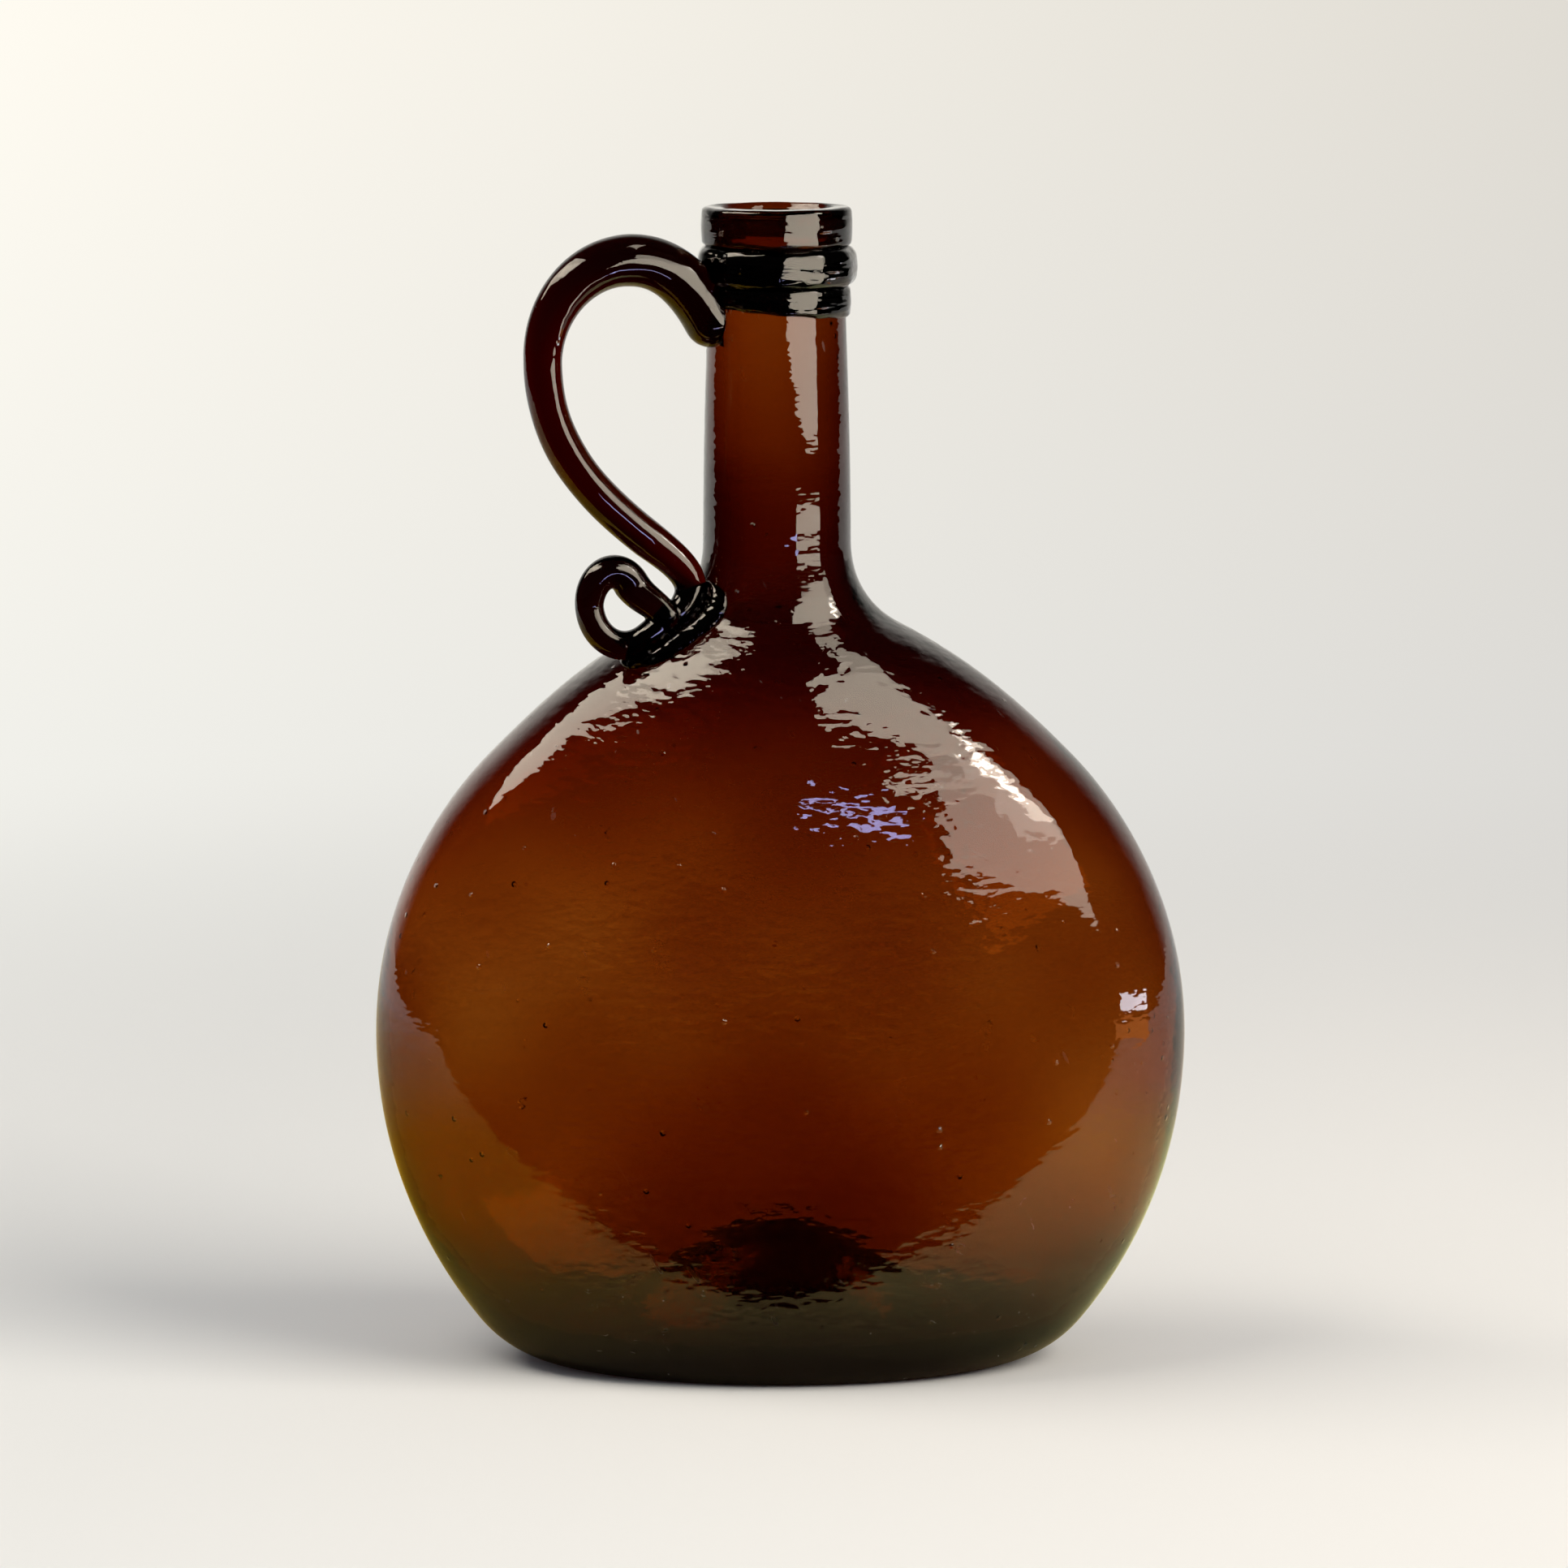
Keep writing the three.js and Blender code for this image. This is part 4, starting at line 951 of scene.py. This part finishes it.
# %% World
world = bpy.data.worlds.new("studio")
bpy.context.scene.world = world
world.use_nodes = True
tree = world.node_tree
tree.nodes.clear()
ray = add_node(tree, "LightPath").outputs
direction = add_node(tree, "TexCoord").outputs["Generated"]
axes = add_node(tree, "SeparateXYZ", {"Vector": direction}).outputs
behind = add_node(tree, "MapRange", {"interpolation_type": "SMOOTHSTEP", "Value": axes["Y"],
                                     "From Min": 0.5, "From Max": 0.85})
in_mirror = add_node(tree, "Math", {"operation": "MULTIPLY", 0: behind, 1: ray["Is Glossy Ray"]})
direct = add_node(tree, "Math", {"operation": "MAXIMUM", 0: ray["Is Camera Ray"], 1: ray["Is Transmission Ray"]})
shown = add_node(tree, "Math", {"operation": "MAXIMUM", 0: in_mirror, 1: direct})
backdrop = add_node(tree, "Background", {"Color": screen(tree, direction), "Strength": 1})
fill = add_node(tree, "Background", {"Color": linear("#F8FAFF"), "Strength": 0.26})
gloom = add_node(tree, "Background", {"Color": linear("#1C1816"), "Strength": 1})
unseen = add_node(tree, "MixShader", {"Fac": ray["Is Glossy Ray"], 1: fill, 2: gloom})
both = add_node(tree, "MixShader", {"Fac": shown, 1: unseen, 2: backdrop})
add_node(tree, "OutputWorld", {"Surface": both})
print("world:", len(tree.nodes), "nodes")

# %% [markdown]
# ## Lamps
#
# Two large soft lamps light the paper: a strip under the ceiling on the left and a window on the right. Their soft
# shadows fall to both sides of the base, as in the photograph. The eye and mirror rays don't see them, because
# what the glass mirrors has its own shapes further on.


# %% Lamps
def panel(name, place, facing, size, radiance, colour, turn=0):
    """A flat soft lamp at a place in metres that faces along a direction. Its power is pi times its area times its
    radiance."""
    lamp = bpy.data.lights.new(name, "AREA")
    lamp.shape, lamp.size, lamp.size_y = "RECTANGLE", size[0], size[1]
    lamp.energy, lamp.color = pi * size[0] * size[1] * radiance, linear(colour)[:3]
    obj = bpy.data.objects.new(name, lamp)
    bpy.context.scene.collection.objects.link(obj)
    aim = Vector(facing).to_track_quat("-Z", "Y").to_matrix() @ Matrix.Rotation(radians(turn), 3, "Z")
    obj.matrix_world = Matrix.Translation(place) @ aim.to_4x4()
    obj.visible_camera = obj.visible_glossy = False
    print(name, "watts:", round(lamp.energy, 1))


LAMPLIGHT = "#FFF2DE"
panel("left_ceiling_light", (-1.08, 0.0, 1.33), (0, 0, -1), (1.8, 0.5), 5.6, LAMPLIGHT, turn=-41)
panel("right_window", (1.5, -1.03, 1.55), (-1, 0, 0), (1.66, 1.95), 6.8, LAMPLIGHT)

# %% [markdown]
# ## What the glass mirrors
#
# The bright patches on the flask are pictures of a window on the right, a ceiling light on the left and pale
# things near the neck, squeezed small by the round glass. Each is a flat bright shape with the outline that a
# mirror ray from the photograph's patch meets, so the patch also moves and bends as it should in other views.


# %% Bright shapes for mirror rays
def glow(name, corners, strength, colour):
    """A flat bright shape, seen only in reflections."""
    material = new_material(name)
    light = add_node(material.node_tree, "Emission", {"Color": linear(colour), "Strength": strength})
    add_node(material.node_tree, "OutputMaterial", {"Surface": light})
    for_reflections(flat_shape(name, corners, material))
    print(name, "corners:", len(corners))


def on_right(x, corners):
    """Corners (y, z) on an upright plane x metres to the right."""
    return [(x, y, z) for y, z in corners]


def overhead(z, corners):
    """Corners (x, y) on a level plane at a height of z metres."""
    return [(x, y, z) for x, y in corners]


DAYLIGHT, SUNLIGHT, SUN = "#FFF0DA", "#FFF3E0", "#FFF8EC"
pane = [(-0.43, 0.36), (-0.3, 0.7), (-0.17, 1.1), (-0.2, 1.5), (-0.54, 1.95), (-0.3, 3), (-0.6, 4.6), (-1.6, 4.6),
        (-1.45, 3.2), (-1.5, 2.4), (-1.5, 2), (-1.5, 1.7), (-2, 1.45), (-2.03, 1.27), (-2.25, 0.92), (-1.85, 0.75),
        (-1.39, 0.65), (-0.9, 0.56)]
glow("window_pane", on_right(1.5, pane), 4.8, DAYLIGHT)
glow("window_sheen", on_right(1.45, [(-0.25, 0.8), (-0.8, 0.9), (-0.9, 1.8), (-0.35, 1.55)]), 7.5, SUNLIGHT)
glow("window_sun", on_right(1.4, [(-0.24, 0.88), (-0.46, 0.93), (-0.64, 1.5), (-0.36, 1.64)]), 15, SUNLIGHT)
glow("window_sun_core", on_right(1.35, [(-0.3, 1), (-0.4, 1.03), (-0.55, 1.38), (-0.42, 1.42)]), 36, SUN)
ceiling = [(-2.25, 0.38), (-1.58, 0.7), (-1.3, 0.74), (-1, 0.52), (-0.66, 0.32), (-0.27, -0.56), (-0.51, -0.66),
           (-0.83, -0.56), (-1.17, -0.22), (-1.41, 0.1), (-1.73, 0.18)]
glow("ceiling_pane", overhead(1.33, ceiling), 6.8, DAYLIGHT)
glow("ceiling_sheen", overhead(1.3, [(-0.9, 0.3), (-0.38, -0.54), (-0.78, -0.54), (-1.05, 0.1)]), 10, DAYLIGHT)
glow("small_white", on_right(0.45, [(-0.1, 0.042), (0.03, 0.038), (0.03, 0.056), (-0.1, 0.06)]), 11, "#F4F5FF")
glow("small_orange", on_right(0.45, [(-0.13, 0.004), (0.03, 0.004), (0.03, 0.03), (-0.13, 0.03)]), 3, "#E08A4A")

# %% [markdown]
# ## Near shapes
#
# The highlight down the neck and the blue patch under it would stretch over half the belly if they came from far
# away. Pale cards a hand's breadth from the neck give them their size. A small dark flag over the arch keeps the
# window off the top of the handle, which is black in the photograph.

# %% Near cards and the flag
CARD_START, CARD_ALONG = (0.0358, -0.0834), (0.042, 0.036)  # x and y of the card's start, and its step for s = 1


def on_card(corners):
    """Corners (s, z) on the upright card: its start plus s times its step, at a height z."""
    return [(CARD_START[0] + CARD_ALONG[0] * s, CARD_START[1] + CARD_ALONG[1] * s, z) for s, z in corners]


card = [(-0.3, 0.1895), (0.07, 0.1755), (0.46, 0.1668), (0.58, 0.1625), (1.15, 0.1615), (1.15, 0.24), (0.42, 0.236),
        (0.3, 0.225), (-0.1, 0.222), (-0.3, 0.21)]
card_foot = [(0.15, 0.1425), (1.2, 0.1425), (1.2, 0.1515), (0.15, 0.1515)]
glow("near_card", on_card(card), 6.8, DAYLIGHT)
glow("near_card_foot", on_card(card_foot), 6.8, DAYLIGHT)
blue = [(0.008, 0.1395), (0.03, 0.1395), (0.054, 0.1415), (0.051, 0.131), (0.034, 0.129), (0.03, 0.1345),
        (0.008, 0.135)]
glow("blue_card", [(x, -0.09, z) for x, z in blue], 15, "#AEB2EE")
flag = [(-0.011, -0.012), (0.03, -0.012), (0.033, -0.028), (0.031, -0.052), (-0.002, -0.052), (-0.011, -0.025)]
for_reflections(flat_shape("flag_over_arch", overhead(0.228, flag), velvet))

# %% [markdown]
# ## Camera
#
# The photograph was taken from about 1.25 m with a long lens, a little above the mouth and level with the flask's
# front. The numbers come from the mouth's flat ellipse and the outline's size. Standard view keeps the colours as
# they are written.

# %% Camera
PHOTO_SIDE, FOCAL_LENGTH = 1932, 8612.3         # of the photograph, in its own pixels
TILT_DOWN = radians(8.426)
camera = bpy.data.cameras.new("camera")
camera.sensor_width = 36
camera.lens = FOCAL_LENGTH / PHOTO_SIDE * camera.sensor_width
camera.clip_end = 100
camera_object = bpy.data.objects.new("camera", camera)
camera_object.location = (0.00068, -1.25, 0.2908)
camera_object.rotation_euler = (pi / 2 - TILT_DOWN, 0, 0)
bpy.context.scene.collection.objects.link(camera_object)
bpy.context.scene.camera = camera_object
bpy.context.scene.view_settings.view_transform = "Standard"
print("lens:", round(camera.lens, 1), "mm")
